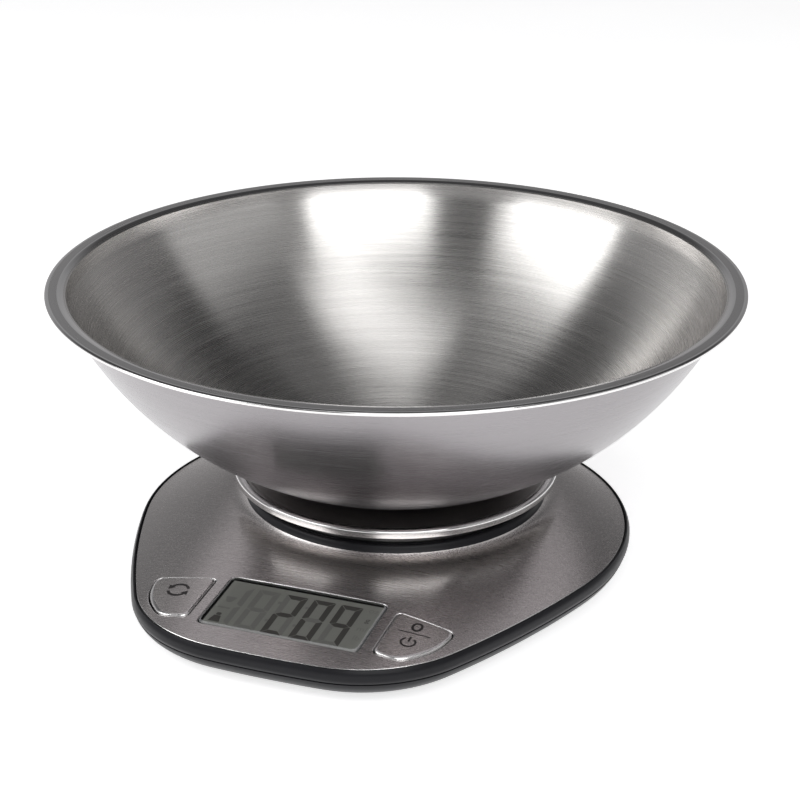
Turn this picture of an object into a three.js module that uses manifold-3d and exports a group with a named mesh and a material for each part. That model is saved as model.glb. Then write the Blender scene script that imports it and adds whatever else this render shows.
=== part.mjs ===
// Battery kitchen scale with a lift-off steel bowl. Millimetres, +Z up, display towards -Y.
// The origin is where the weighing axis meets the table.
import * as THREE from "three";
import { mergeVertices } from "three/addons/utils/BufferGeometryUtils.js";
import Module from "manifold-3d";

const wasm = await Module();
wasm.setup();

// ---- clearances
const GAP = 0.3; // between pieces that touch
const SLIP = 0.4; // between a moving piece and the edge around it

// ---- batteries: two cells side by side, behind the load cell
const AAA_R = 5.25;
const AAA_L = 44.5;
const AAA_PITCH = 2 * AAA_R + 0.9;
const AAA_Y = 17.25 + AAA_R;
const DOOR_T = 1.6;
const DOOR_LIP = 2.2;

// ---- size of the display's window
const WINDOW_W = 55.4;
const WINDOW_H = 28.4;

// ---- base outline: four tangent arcs on each side
const BACK_R = 85;
const BACK_Y = -11;
const CORNER_R = 44.5;
const CORNER_X = WINDOW_W / 2 - 11.2; // leaves room for a key beside the window
const CORNER_Y = -73.3;
const FLANK_R = 312;
const FRONT_R = 350;

// ---- heights of the base
const FEET_H = 2;
const FLOOR_T = 2;
const SEAM_Z = 9;
const EDGE_Z = 2 * AAA_R + 3.5; // the steel panel's edge, clear of the battery bay
const WALL_T = 2;
const SHELL_OUT = 1.7; // how far the shells stand outside the panel's edge

// ---- steel panel
const PANEL_T = 0.8;
const DECK_T = 1.8; // plastic under the panel
const RISE = 4.5; // from the panel's edge up to the foot of the pedestal
const FOOT_R = 59.5;
const PEDESTAL_R = 52.4;
const PEDESTAL_H = 4.4;
const BOSS_R = 50.6;
const BOSS_LIFT = 1.5; // the plastic boss stands this far above the pedestal

// ---- weighing platform and bowl
const TRAY_LIFT = 3.3; // from the plastic boss to the underside of the tray ring
const RING_R = 57.7;
const RING_H = 3.1;
const RING_W = 2.8;
const DISH_T = 3.8;
const BOWL_R = 120;
const BOWL_H = 70.4;
const BOWL_T = 1;
const BOWL_FOOT_R = 32;
const FLANGE_W = 4.7;

// ---- display and keys, laid out on the slope of the panel
const DISPLAY_Y = -93.3;
const LENS_T = 2.5;
const KEY_PROUD = 0.45;
const KEY_TRAVEL = 0.6;
const KEY_FLANGE = 1.2;
const KEY_INNER = WINDOW_W / 2 + 4.4;
const KEY_CENTRE_X = KEY_INNER + 8.9;
const BOARD_DEPTH = 9.4; // from the panel's face to the board's face
const BOARD_T = 1.2;
const SWITCH_W = 6;
const SWITCH_H = 2;

// ---- load cell
const CELL_L = 75;
const CELL_W = 15;
const CELL_H = 8;
const PLATE_T = 1;
const CELL_LIFT = 2 * AAA_R - 8.8; // pad under the cell: the carrier passes over the battery bay
const TRAVEL = 0.4; // how far the platform sinks at full load
const CELL_HOLES = [25.5, 33.5];
const CARRIER_T = 1.5;
const SPIGOT_R = 20.5;
const CARRIER_HOLE = 11.3;

// ---- screws and feet
const SCREW_R = 1.5;
const HEAD_R = 2.8;
const HEAD_H = 1.7;
const FOOT_PAD_R = 6.5;
const FEET = [[-30, -90], [30, -90], [-50, 30], [50, 30]];
const SCREWS = [[0, -62], [-63, -24], [63, -24], [-35, 48], [35, 48]];

// ---- heights that follow from the sizes above
const BOTTOM_Z = FEET_H;
const FLOOR_Z = BOTTOM_Z + FLOOR_T;
const FOOT_Z = EDGE_Z + RISE;
const PEDESTAL_Z = FOOT_Z + PEDESTAL_H;
const BOSS_Z = PEDESTAL_Z + BOSS_LIFT;
const RING_Z = BOSS_Z + TRAY_LIFT;
const RING_TOP = RING_Z + RING_H;
const DISH_TOP = RING_Z + RING_H / 2;
const DISH_BOTTOM = DISH_TOP - DISH_T;
const BOWL_Z = DISH_TOP + GAP;
const RIM_Z = BOWL_Z + BOWL_H;
const CELL_Z = FLOOR_Z + CELL_LIFT + 2 * GAP + PLATE_T;
const CELL_TOP = CELL_Z + CELL_H;
const UPPER_PLATE_Z = CELL_TOP + TRAVEL + 0.1;
const CARRIER_Z = UPPER_PLATE_Z + PLATE_T + GAP;
const CARRIER_TOP = CARRIER_Z + CARRIER_T;

// ---- looks
const LOOKS = {
  bowlSteel: [0xb9b6b6, 0.28, 1],
  satinSteel: [0x8f8b8a, 0.36, 1],
  brightSteel: [0xd6d5d6, 0.14, 1],
  shell: [0x26262a, 0.42, 0],
  gloss: [0x121214, 0.12, 0],
  lens: [0x9fa6a0, 0.08, 0],
  liquidCrystal: [0x6d7268, 0.3, 0],
  holder: [0x17181a, 0.6, 0],
  rubber: [0x1b1b1c, 0.85, 0],
  board: [0x1f5a34, 0.45, 0],
  chip: [0x0d0d0f, 0.35, 0],
  switchBody: [0x2c2c2f, 0.5, 0],
  plunger: [0xd8d2c4, 0.5, 0],
  aluminium: [0xb4b7bb, 0.35, 1],
  zinc: [0xa9acae, 0.4, 1],
  silicone: [0xe8e8e4, 0.6, 0],
  batterySleeve: [0x3a4a52, 0.35, 0],
  nickel: [0xc9c6bd, 0.25, 1],
  redWire: [0xa3211c, 0.55, 0],
  blackWire: [0x1a1a1a, 0.55, 0],
  greyWire: [0x8d9094, 0.55, 0],
};

// ---- shape helpers

// A three.js geometry as a manifold solid that faces out.
function solid(geometry) {
  const bare = geometry.index ? geometry.toNonIndexed() : geometry.clone();
  bare.deleteAttribute("normal");
  bare.deleteAttribute("uv");
  const merged = mergeVertices(bare, 1e-4);
  const make = (triVerts) => new wasm.Manifold(new wasm.Mesh({
    numProp: 3,
    vertProperties: merged.attributes.position.array,
    triVerts,
  }));
  const made = make(new Uint32Array(merged.index.array));
  if (made.volume() > 0) return made;
  return make(new Uint32Array(merged.index.array).reverse());
}

// A solid of revolution about +Z from closed [r, z] points.
function turned(points, segments = 48) {
  const loop = [...points, points[0]].map(([r, z]) => new THREE.Vector2(r, z));
  return solid(new THREE.LatheGeometry(loop, segments).rotateX(Math.PI / 2));
}

function cylinder(r, z0, z1, x = 0, y = 0, segments = 24) {
  const shape = new THREE.CylinderGeometry(r, r, z1 - z0, segments).rotateX(Math.PI / 2);
  return solid(shape.translate(x, y, (z0 + z1) / 2));
}

function box(x0, x1, y0, y1, z0, z1) {
  const shape = new THREE.BoxGeometry(x1 - x0, y1 - y0, z1 - z0);
  return solid(shape.translate((x0 + x1) / 2, (y0 + y1) / 2, (z0 + z1) / 2));
}

function extruded(shape, z0, z1, curveSegments = 4) {
  const options = { depth: z1 - z0, bevelEnabled: false, curveSegments };
  return solid(new THREE.ExtrudeGeometry(shape, options).translate(0, 0, z0));
}

// A polygon whose corners are rounded, each by its own cut-back length.
function roundedShape(corners, cuts) {
  const shape = new THREE.Shape();
  corners.forEach((corner, i) => {
    const here = new THREE.Vector2(...corner);
    const before = new THREE.Vector2(...corners.at(i - 1));
    const after = new THREE.Vector2(...corners[(i + 1) % corners.length]);
    const cut = Array.isArray(cuts) ? cuts[i] : cuts;
    const start = before.sub(here).setLength(cut).add(here);
    const end = after.sub(here).setLength(cut).add(here);
    if (i === 0) shape.moveTo(start.x, start.y);
    else shape.lineTo(start.x, start.y);
    shape.quadraticCurveTo(here.x, here.y, end.x, end.y);
  });
  shape.closePath();
  return shape;
}

function roundedPlate(width, height, cut, z0, z1, x = 0, y = 0) {
  const a = width / 2;
  const b = height / 2;
  const corners = [[x - a, y - b], [x + a, y - b], [x + a, y + b], [x - a, y + b]];
  return extruded(roundedShape(corners, cut), z0, z1);
}

function joined(parts) {
  return parts.reduce((whole, part) => whole.add(part));
}

function minus(whole, parts) {
  return parts.reduce((rest, part) => rest.subtract(part), whole);
}

function mesh(name, body, look) {
  const { vertProperties, triVerts } = body.getMesh();
  const geometry = new THREE.BufferGeometry();
  geometry.setAttribute("position", new THREE.BufferAttribute(vertProperties.slice(), 3));
  geometry.setIndex(new THREE.BufferAttribute(triVerts.slice(), 1));
  geometry.computeVertexNormals();
  const [color, roughness, metalness] = LOOKS[look];
  const material = new THREE.MeshStandardMaterial({ color, roughness, metalness });
  const made = new THREE.Mesh(geometry, material);
  made.name = name;
  return made;
}

// ---- base outline

// The four arcs of the right-hand side, from the front to the back: [x, y, radius].
function outlineArcs() {
  const frontY = CORNER_Y + Math.sqrt((FRONT_R - CORNER_R) ** 2 - CORNER_X ** 2);
  const dx = CORNER_X;
  const dy = CORNER_Y - BACK_Y;
  const apart = Math.hypot(dx, dy);
  const toBack = FLANK_R - BACK_R;
  const along = (toBack ** 2 - (FLANK_R - CORNER_R) ** 2 + apart ** 2) / (2 * apart);
  const across = Math.sqrt(toBack ** 2 - along ** 2);
  const flankX = (along * dx + across * dy) / apart;
  const flankY = BACK_Y + (along * dy - across * dx) / apart;
  return [
    [0, frontY, FRONT_R],
    [CORNER_X, CORNER_Y, CORNER_R],
    [flankX, flankY, FLANK_R],
    [0, BACK_Y, BACK_R],
  ];
}

// Points of the outline, moved outwards by the given amount.
function outline(outwards = 0) {
  const arcs = outlineArcs();
  const steps = [2, 6, 3, 9];
  const angle = (a, b) => Math.atan2(b[1] - a[1], b[0] - a[0]);
  const joints = [
    -Math.PI / 2,
    angle(arcs[0], arcs[1]),
    angle(arcs[2], arcs[1]),
    angle(arcs[2], arcs[3]),
    Math.PI / 2,
  ];
  const right = [];
  arcs.forEach(([x, y, r], i) => {
    for (let k = 0; k < steps[i]; k++) {
      const turn = joints[i] + ((joints[i + 1] - joints[i]) * k) / steps[i];
      right.push([x + (r + outwards) * Math.cos(turn), y + (r + outwards) * Math.sin(turn)]);
    }
  });
  const top = [0, BACK_Y + BACK_R + outwards];
  const left = right.slice(1).reverse().map(([x, y]) => [-x, y]);
  return [...right, top, ...left];
}

// A solid through stacked closed loops of [x, y, z] points, capped at both ends.
function stacked(loops) {
  const count = loops[0].length;
  const middle = (loop) => loop.reduce((sum, p) => sum.map((v, i) => v + p[i] / count), [0, 0, 0]);
  const points = [...loops.flat(), middle(loops[0]), middle(loops.at(-1))];
  const faces = [];
  const low = count * loops.length;
  for (let i = 0; i < count; i++) {
    const next = (i + 1) % count;
    for (let k = 0; k + 1 < loops.length; k++) {
      const a = k * count;
      const b = a + count;
      faces.push(a + i, a + next, b + next, a + i, b + next, b + i);
    }
    faces.push(low, next, i);
    faces.push(low + 1, low - count + i, low - count + next);
  }
  const geometry = new THREE.BufferGeometry();
  geometry.setAttribute("position", new THREE.Float32BufferAttribute(points.flat(), 3));
  geometry.setIndex(faces);
  return solid(geometry);
}

// A shell-shaped solid from [outwards, z] stations around the outline.
function banded(stations) {
  return stacked(stations.map(([out, z]) => outline(out).map(([x, y]) => [x, y, z])));
}

// Height of the crowned panel at t, which runs from 0 at the pedestal's foot to 1 at the edge.
const crown = (t) => EDGE_Z + RISE * (1 - Math.max(0, t) ** 1.5);

// The layer between two depths below the panel's face, out to the outline moved outwards.
function layer(depth0, depth1, outwards = 0) {
  const edge = outline();
  const rim = outline(outwards);
  const ring = (t, depth) => edge.map(([x, y], i) => {
    const r = Math.hypot(x, y);
    const [px, py] = t === 1 ? rim[i] : [x, y];
    const scale = t === 1 ? 1 : (FOOT_R + (r - FOOT_R) * t) / r;
    const reach = t === 1 ? 1 - Math.max(0, -outwards) / (r - FOOT_R) : t;
    return [px * scale, py * scale, crown(reach) - depth];
  });
  const steps = [0, 0.3, 0.65, 1];
  const lower = steps.map((t) => ring(t, depth1));
  const upper = steps.toReversed().map((t) => ring(t, depth0));
  return stacked([...lower, ...upper]);
}

// ---- the sloping display area
const DISPLAY_T = (-DISPLAY_Y - FOOT_R) / (-outline()[0][1] - FOOT_R);
const DISPLAY_Z = crown(DISPLAY_T);
const SLOPE = (crown(DISPLAY_T - 0.01) - crown(DISPLAY_T + 0.01))
  / (0.02 * (-outline()[0][1] - FOOT_R));

// Moves a solid from the display's own frame, whose face is z = 0, to its place.
function onSlope(body) {
  return body.rotate([THREE.MathUtils.radToDeg(Math.atan(SLOPE)), 0, 0])
    .translate([0, DISPLAY_Y, DISPLAY_Z]);
}

// The outline of a key in the display's frame; side is -1 on the left and 1 on the right.
function keyShape(side, grow = 0) {
  const corners = [
    [KEY_INNER - grow, 11.2 + grow],
    [KEY_INNER + 20.3 + grow, 7.8 + grow],
    [KEY_INNER + 18.1 + grow, -4 - grow],
    [KEY_INNER + 9 + grow, -13.4 - grow],
    [KEY_INNER - grow, -12 - grow],
  ];
  const placed = corners.map(([x, y]) => [side * x, y]);
  return roundedShape(placed, [2.2, 3.5, 7, 4, 2.5]);
}

function keyPrism(side, grow, z0, z1) {
  return onSlope(extruded(keyShape(side, grow), z0, z1));
}

function windowPrism(grow, z0, z1) {
  return onSlope(roundedPlate(WINDOW_W + 2 * grow, WINDOW_H + 2 * grow, 2.4, z0, z1));
}

// ---- bowl

// Points of the bowl's outer wall from its foot up to the flange.
function bowlWall(inwards) {
  const top = [BOWL_R - FLANGE_W, RIM_Z - 0.6];
  const bend = [BOWL_R - 25.7, BOWL_Z + 24.4];
  const knee = [BOWL_R * 0.423, BOWL_Z + 5.9];
  const wall = new THREE.QuadraticBezierCurve(
    new THREE.Vector2(...knee), new THREE.Vector2(...bend), new THREE.Vector2(...top));
  const turn = new THREE.QuadraticBezierCurve(
    new THREE.Vector2(BOWL_FOOT_R, BOWL_Z), new THREE.Vector2(BOWL_FOOT_R + 5.5, BOWL_Z),
    new THREE.Vector2(...knee));
  const spots = (curve, from, to, n) => {
    const found = [];
    for (let i = 0; i < n; i++) {
      const t = from + ((to - from) * i) / (n - 1);
      const p = curve.getPoint(t);
      const along = curve.getTangent(t);
      found.push([p.x - along.y * inwards, p.y + along.x * inwards]);
    }
    return found;
  };
  return [...spots(turn, 0, 0.7, 3), ...spots(wall, 0, 1, 7)];
}

function bowl() {
  const outside = bowlWall(0);
  const inside = bowlWall(BOWL_T).toReversed();
  const flange = [
    [BOWL_R - FLANGE_W + 1, RIM_Z - 1],
    [BOWL_R - 0.9, RIM_Z - 1.5],
    [BOWL_R, RIM_Z - 1],
    [BOWL_R, RIM_Z - 0.4],
    [BOWL_R - 0.7, RIM_Z],
    [BOWL_R - FLANGE_W, RIM_Z - 0.05],
  ];
  const inner = inside.slice(1);
  const profile = [[0, BOWL_Z], ...outside, ...flange, ...inner, [0, BOWL_Z + BOWL_T]];
  return turned(profile, 56);
}

// ---- weighing platform

function trayRing() {
  const inner = RING_R - RING_W;
  return turned([
    [inner, RING_Z],
    [RING_R - 0.3, RING_Z],
    [RING_R, RING_Z + 0.4],
    [RING_R, RING_TOP - 0.9],
    [RING_R - 0.6, RING_TOP - 0.2],
    [RING_R - 1.4, RING_TOP],
    [inner + 0.4, RING_TOP - 0.3],
    [inner, RING_TOP - 0.8],
  ], 48);
}

function trayDish() {
  const rim = RING_R - RING_W - GAP;
  const disc = turned([
    [0, DISH_BOTTOM],
    [BOSS_R - 1.5, DISH_BOTTOM],
    [rim - 0.4, RING_Z],
    [rim, RING_Z + 0.4],
    [rim, RING_TOP - 0.9],
    [rim - 1, RING_TOP - 0.9],
    [rim - 1.6, DISH_TOP],
    [0, DISH_TOP],
  ], 48);
  const spigot = turned([
    [SPIGOT_R - 8, CARRIER_TOP + GAP],
    [SPIGOT_R, CARRIER_TOP + GAP],
    [SPIGOT_R, DISH_BOTTOM + 1],
    [SPIGOT_R - 8, DISH_BOTTOM + 1],
  ], 24);
  const screwHoles = carrierSpots().map(([x, y]) =>
    cylinder(SCREW_R + GAP, CARRIER_TOP, CARRIER_TOP + 5.6, x, y, 10));
  return minus(disc.add(spigot), screwHoles);
}

function carrierSpots() {
  const c = CARRIER_HOLE;
  return [[c, c], [-c, c], [-c, -c], [c, -c]];
}

function carrierPlate() {
  const disc = cylinder(SPIGOT_R + 1.5, CARRIER_Z, CARRIER_TOP, 0, 0, 32);
  const tab = box(0, CELL_L / 2, -CELL_W / 2, CELL_W / 2, CARRIER_Z, CARRIER_TOP);
  const spots = [...carrierSpots(), ...CELL_HOLES.map((x) => [x, 0])];
  const holes = spots.map(([x, y]) =>
    cylinder(SCREW_R + GAP, CARRIER_Z - 1, CARRIER_TOP + 1, x, y, 10));
  return minus(disc.add(tab), holes);
}

// A thin steel spacer over or under one end of the cell.
function cellPlate(side, z) {
  const end = (side * CELL_L) / 2;
  const near = side * (CELL_HOLES[0] - 4.5);
  const plate = box(Math.min(near, end), Math.max(near, end), -CELL_W / 2, CELL_W / 2,
    z, z + PLATE_T);
  const holes = CELL_HOLES.map((x) =>
    cylinder(SCREW_R + GAP, z - 1, z + PLATE_T + 1, side * x, 0, 10));
  return minus(plate, holes);
}

function loadCell() {
  const bar = box(-CELL_L / 2, CELL_L / 2, -CELL_W / 2, CELL_W / 2, CELL_Z, CELL_TOP);
  const middle = (CELL_Z + CELL_TOP) / 2;
  const across = (r, x) => solid(new THREE.CylinderGeometry(r, r, CELL_W + 2, 16)
    .translate(x, 0, middle));
  const waist = box(-7, 7, -CELL_W, CELL_W, middle - 1.1, middle + 1.1);
  const holes = [-1, 1].flatMap((side) => CELL_HOLES.map((x) =>
    cylinder(SCREW_R + GAP, CELL_Z - 1, CELL_TOP + 1, side * x, 0, 10)));
  return minus(bar, [across(3, -7), across(3, 7), waist, ...holes]);
}

// A screw whose head starts at z and whose shank points up (way 1) or down (way -1).
function screw(x, y, z, length, way) {
  return turned([
    [0, 0],
    [HEAD_R * 0.8, 0],
    [HEAD_R, way * 0.5],
    [HEAD_R, way * HEAD_H],
    [SCREW_R, way * HEAD_H],
    [SCREW_R, way * (HEAD_H + length)],
    [0, way * (HEAD_H + length)],
  ], 10).translate([x, y, z]);
}

// ---- shells

function upperHousing() {
  const outer = banded([
    [SHELL_OUT - 0.6, SEAM_Z + GAP],
    [SHELL_OUT, SEAM_Z + 1.3],
    [SHELL_OUT, EDGE_Z - 1.4],
    [SHELL_OUT - 0.9, EDGE_Z + GAP],
  ]);
  const deckTop = PANEL_T + GAP;
  const deckBottom = deckTop + DECK_T;
  const above = layer(-20, deckTop, GAP);
  const below = layer(deckBottom, 30, SHELL_OUT - 0.6 - WALL_T);
  const deck = layer(deckTop, deckBottom, -0.5);
  const boss = turned([
    [BOSS_R - WALL_T, FOOT_Z - deckBottom],
    [BOSS_R, FOOT_Z - deckBottom],
    [BOSS_R, BOSS_Z - 0.6],
    [BOSS_R - 0.6, BOSS_Z],
    [SPIGOT_R + 3.5, BOSS_Z],
    [SPIGOT_R + 3.5, BOSS_Z - WALL_T],
    [BOSS_R - WALL_T, BOSS_Z - WALL_T],
  ], 40);
  const well = cylinder(BOSS_R - 1, FOOT_Z - 12, FOOT_Z + 1, 0, 0, 40);
  const shell = minus(outer, [above, below]).add(deck.subtract(well)).add(boss);
  const openings = [
    windowPrism(0, -12, 4),
    keyPrism(-1, SLIP, -12, 4),
    keyPrism(1, SLIP, -12, 4),
  ];
  return minus(minus(shell, openings).add(upperPosts()), SCREWS.map(([x, y]) =>
    cylinder(SCREW_R + GAP, SEAM_Z - 3, SEAM_Z + 4, x, y, 10)));
}

// Screw posts and board posts under the deck.
function upperPosts() {
  const under = layer(PANEL_T + GAP + 0.5, 30, -1);
  const posts = SCREWS.map(([x, y]) => cylinder(3.6, FLOOR_Z + 3.6, FOOT_Z, x, y, 12));
  const boardPosts = BOARD_SCREWS.map(([x, y]) =>
    onSlope(cylinder(2.6, GAP - BOARD_DEPTH, 4, x, y, 12)
      .subtract(cylinder(1 + GAP, -BOARD_DEPTH, 3.2 - BOARD_DEPTH, x, y, 10))));
  return joined([...posts, ...boardPosts]).intersect(under);
}

const BOARD_SCREWS = [[-15, 19], [15, 19]];

function lowerHousing() {
  const outer = banded([
    [SHELL_OUT - 11, BOTTOM_Z],
    [SHELL_OUT - 7.2, BOTTOM_Z + 0.7],
    [SHELL_OUT - 3.4, BOTTOM_Z + 2.9],
    [SHELL_OUT - 1.3, BOTTOM_Z + 5.3],
    [SHELL_OUT - 0.6, SEAM_Z],
  ]);
  const inner = banded([
    [SHELL_OUT - 11.4, FLOOR_Z],
    [SHELL_OUT - 8.4, FLOOR_Z + 0.7],
    [SHELL_OUT - 4.6, FLOOR_Z + 2.6],
    [SHELL_OUT - 2.6, SEAM_Z + 1],
  ]);
  const tub = outer.subtract(inner);
  const pad = box(-CELL_L / 2 - 1, 4.5 - CELL_HOLES[0], -CELL_W / 2 - 1, CELL_W / 2 + 1,
    BOTTOM_Z + 1, FLOOR_Z + CELL_LIFT);
  const posts = SCREWS.map(([x, y]) =>
    cylinder(4.4, BOTTOM_Z + 1, FLOOR_Z + 3.6 - GAP, x, y, 12));
  const bodies = [tub, pad, ...posts, batteryWalls()];
  return minus(joined(bodies), lowerCuts());
}

function lowerCuts() {
  const cell = CELL_HOLES.flatMap((x) => counterbore(-x, 0, FLOOR_Z + CELL_LIFT + 1));
  const shell = SCREWS.flatMap(([x, y]) => counterbore(x, y, FLOOR_Z + 4));
  const feet = FEET.map(([x, y]) =>
    cylinder(FOOT_PAD_R + GAP, BOTTOM_Z - 1, BOTTOM_Z + 1 + GAP, x, y, 16));
  return [...cell, ...shell, ...feet, ...batteryCuts()];
}

function counterbore(x, y, top) {
  return [
    cylinder(HEAD_R + SLIP, BOTTOM_Z - 1, BOTTOM_Z + HEAD_H + 2 * GAP, x, y, 12),
    cylinder(SCREW_R + GAP, BOTTOM_Z, top, x, y, 10),
  ];
}

// ---- battery bay: two cells side by side over a hinged door
const BAY_X = AAA_L / 2 + 3.3;
const BAY_Y0 = AAA_Y - AAA_R - 1;
const BAY_Y1 = AAA_Y + AAA_PITCH + AAA_R + 1;
const CELL_AXIS_Z = BOTTOM_Z + DOOR_T + GAP + AAA_R;
const BAY_Z = CELL_AXIS_Z + AAA_R + GAP;
const BAY_WALL = 1.4;

function batteryWalls() {
  return box(-BAY_X - BAY_WALL, BAY_X + BAY_WALL, BAY_Y0 - BAY_WALL, BAY_Y1 + BAY_WALL,
    BOTTOM_Z + 1, BAY_Z + 0.9);
}

function batteryCuts() {
  const bay = box(-BAY_X, BAY_X, BAY_Y0, BAY_Y1, BOTTOM_Z - 1, BAY_Z);
  const ledge = box(-BAY_X - SLIP, BAY_X + SLIP, BAY_Y0 - DOOR_LIP - SLIP,
    BAY_Y1 + DOOR_LIP + SLIP, BOTTOM_Z - 1, BOTTOM_Z + DOOR_T - 0.4);
  return [bay, ledge];
}

function batteryDoor() {
  const plate = box(-BAY_X, BAY_X, BAY_Y0 - DOOR_LIP, BAY_Y1 + DOOR_LIP,
    BOTTOM_Z, BOTTOM_Z + 0.9);
  const middle = box(-BAY_X + SLIP, BAY_X - SLIP, BAY_Y0 + SLIP, BAY_Y1 - SLIP,
    BOTTOM_Z + 0.5, BOTTOM_Z + DOOR_T);
  const grip = [0, 1, 2].map((i) => box(-6, 6, BAY_Y0 + 1 + 1.6 * i, BAY_Y0 + 1.8 + 1.6 * i,
    BOTTOM_Z - 0.2, BOTTOM_Z + 0.4));
  return minus(plate.add(middle), grip);
}

function batteryCell(index) {
  const facing = index === 0 ? 1 : -1;
  const half = AAA_L / 2;
  const profile = [
    [0, -half],
    [AAA_R - 0.7, -half],
    [AAA_R - 0.1, -half + 0.5],
    [AAA_R - 0.1, half - 1.5],
    [AAA_R - 0.8, half - 1],
    [1.9, half - 1],
    [1.9, half],
    [0, half],
  ];
  return turned(profile, 16).rotate([0, 90 * facing, 0])
    .translate([0, AAA_Y + AAA_PITCH * index, CELL_AXIS_Z]);
}

// A contact strip against one end wall of the bay, with a pressed leaf for each cell it serves.
function contactStrip(side, rows) {
  const y0 = AAA_Y + AAA_PITCH * rows[0] - 3.6;
  const y1 = AAA_Y + AAA_PITCH * rows.at(-1) + 3.6;
  const wall = side * (BAY_X - GAP);
  const face = wall - side * 0.5;
  const tip = side * (AAA_L / 2 + GAP);
  const span = (a, b) => [Math.min(a, b), Math.max(a, b)];
  const plate = box(...span(wall, face), y0, y1, CELL_AXIS_Z - 3.8, CELL_AXIS_Z + 3.8);
  const leaves = rows.map((row) => {
    const y = AAA_Y + AAA_PITCH * row;
    const rise = [[side * 0.2, -3], [side * 0.2, 3], [tip - face, 0.7], [tip - face, -0.7]];
    const leaf = extruded(roundedShape(rise, 0.1), -2, 2, 1);
    return leaf.rotate([90, 0, 0]).translate([face, y, CELL_AXIS_Z]);
  });
  return joined([plate, ...leaves]);
}

// ---- display and keys

function topPanel() {
  const sheet = layer(0, PANEL_T).subtract(
    cylinder(FOOT_R - 0.4, FOOT_Z - 3, FOOT_Z + 3, 0, 0, 40));
  const holes = [
    windowPrism(0, -6, 4),
    keyPrism(-1, SLIP, -6, 4),
    keyPrism(1, SLIP, -6, 4),
  ];
  return minus(sheet.add(pedestal()), holes);
}

// The pressed pedestal: a concave sweep from the panel up to a rounded shoulder.
function pedestal() {
  const sweep = new THREE.QuadraticBezierCurve(
    new THREE.Vector2(FOOT_R, FOOT_Z),
    new THREE.Vector2(PEDESTAL_R + 1.6, FOOT_Z),
    new THREE.Vector2(PEDESTAL_R + 0.5, PEDESTAL_Z - 0.9));
  const outer = sweep.getPoints(4).map((p) => [p.x, p.y]);
  outer.push([PEDESTAL_R, PEDESTAL_Z - 0.15], [PEDESTAL_R - 0.6, PEDESTAL_Z]);
  const hole = BOSS_R + GAP;
  const inner = outer.slice(0, -2).toReversed()
    .map(([r, z]) => [Math.max(hole, r - PANEL_T), z - PANEL_T]);
  inner[inner.length - 1] = [FOOT_R, FOOT_Z - PANEL_T];
  return turned([...outer, [hole, PEDESTAL_Z], [hole, PEDESTAL_Z - PANEL_T], ...inner], 40);
}

function keyFace(side) {
  return layer(-KEY_PROUD, PANEL_T - 0.1).intersect(keyPrism(side, 0, -8, 4));
}

function keyBody(side) {
  const top = PANEL_T + 0.2;
  const shelf = PANEL_T + GAP + DECK_T + SLIP;
  const column = layer(top, shelf + 1).intersect(keyPrism(side, 0, -9, 3));
  const flange = layer(shelf, shelf + 1.2).intersect(keyPrism(side, KEY_FLANGE, -9, 3));
  const stem = onSlope(cylinder(2.2, SWITCH_H + 0.8 + 0.1 - BOARD_DEPTH, -4.2,
    side * KEY_CENTRE_X, 0, 12));
  return joined([column, flange, stem]);
}

function displayLens() {
  const width = WINDOW_W - 2 * GAP;
  const height = WINDOW_H - 2 * GAP;
  const slab = roundedPlate(width, height, 2.3, -LENS_T, -0.5);
  const face = roundedPlate(width - 1.4, height - 1.4, 2, -1, 0.1);
  return onSlope(slab.add(face));
}

function lcdGlass() {
  return onSlope(roundedPlate(WINDOW_W - 1.6, WINDOW_H - 1.6, 0.6, -5.2, -LENS_T - 2 * GAP));
}

function lcdHolder() {
  const top = -(PANEL_T + GAP + DECK_T) - 2 * GAP;
  const frame = roundedPlate(WINDOW_W + 2.6, WINDOW_H + 2.4, 1, GAP - BOARD_DEPTH, top);
  const inside = roundedPlate(WINDOW_W - 1, WINDOW_H - 1, 0.8, -BOARD_DEPTH, 0);
  const underDeck = layer(PANEL_T + DECK_T + 2 * GAP, 30);
  return onSlope(frame.subtract(inside)).intersect(underDeck);
}

function lcdConnector() {
  const y = -WINDOW_H / 2 + 2.6;
  return onSlope(box(-WINDOW_W / 2 + 3, WINDOW_W / 2 - 3, y - 1.1, y + 1.1,
    GAP - BOARD_DEPTH, -5.2 - GAP));
}

function circuitBoard() {
  const front = -WINDOW_H / 2 - 0.6;
  const back = WINDOW_H / 2 + 1.8;
  const wide = KEY_CENTRE_X + 6;
  const near = WINDOW_W / 2 + 1.3;
  const corners = [[-wide, back], [-wide, -3], [-near, front], [near, front], [wide, -3],
    [wide, back], [21, back], [21, 24.5], [-21, 24.5], [-21, back]];
  const plate = extruded(roundedShape(corners, 1), -BOARD_DEPTH - BOARD_T, -BOARD_DEPTH, 1);
  const holes = BOARD_SCREWS.map(([x, y]) => cylinder(1 + GAP, -15, 0, x, y, 10));
  return onSlope(minus(plate, holes));
}

function boardScrew([x, y]) {
  const under = -BOARD_DEPTH - BOARD_T - GAP;
  return onSlope(turned([
    [0, under - 1.3],
    [1.7, under - 1.3],
    [2.1, under - 0.9],
    [2.1, under],
    [1, under],
    [1, under + 4],
    [0, under + 4],
  ], 12).translate([x, y, 0]));
}

function chipBlob() {
  const face = GAP - BOARD_DEPTH;
  return onSlope(turned([
    [0, face],
    [3.7, face],
    [3.3, face + 0.6],
    [1.9, face + 1.1],
    [0, face + 1.3],
  ], 12).translate([0, 20.2, 0]));
}

function switchBody(side) {
  const w = SWITCH_W / 2;
  const base = GAP - BOARD_DEPTH;
  const x = side * KEY_CENTRE_X;
  const body = box(x - w, x + w, -w, w, base, SWITCH_H - BOARD_DEPTH);
  const well = cylinder(1.6 + SLIP / 2, SWITCH_H - BOARD_DEPTH - 1.2, 0, x, 0, 16);
  return onSlope(body.subtract(well));
}

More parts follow.
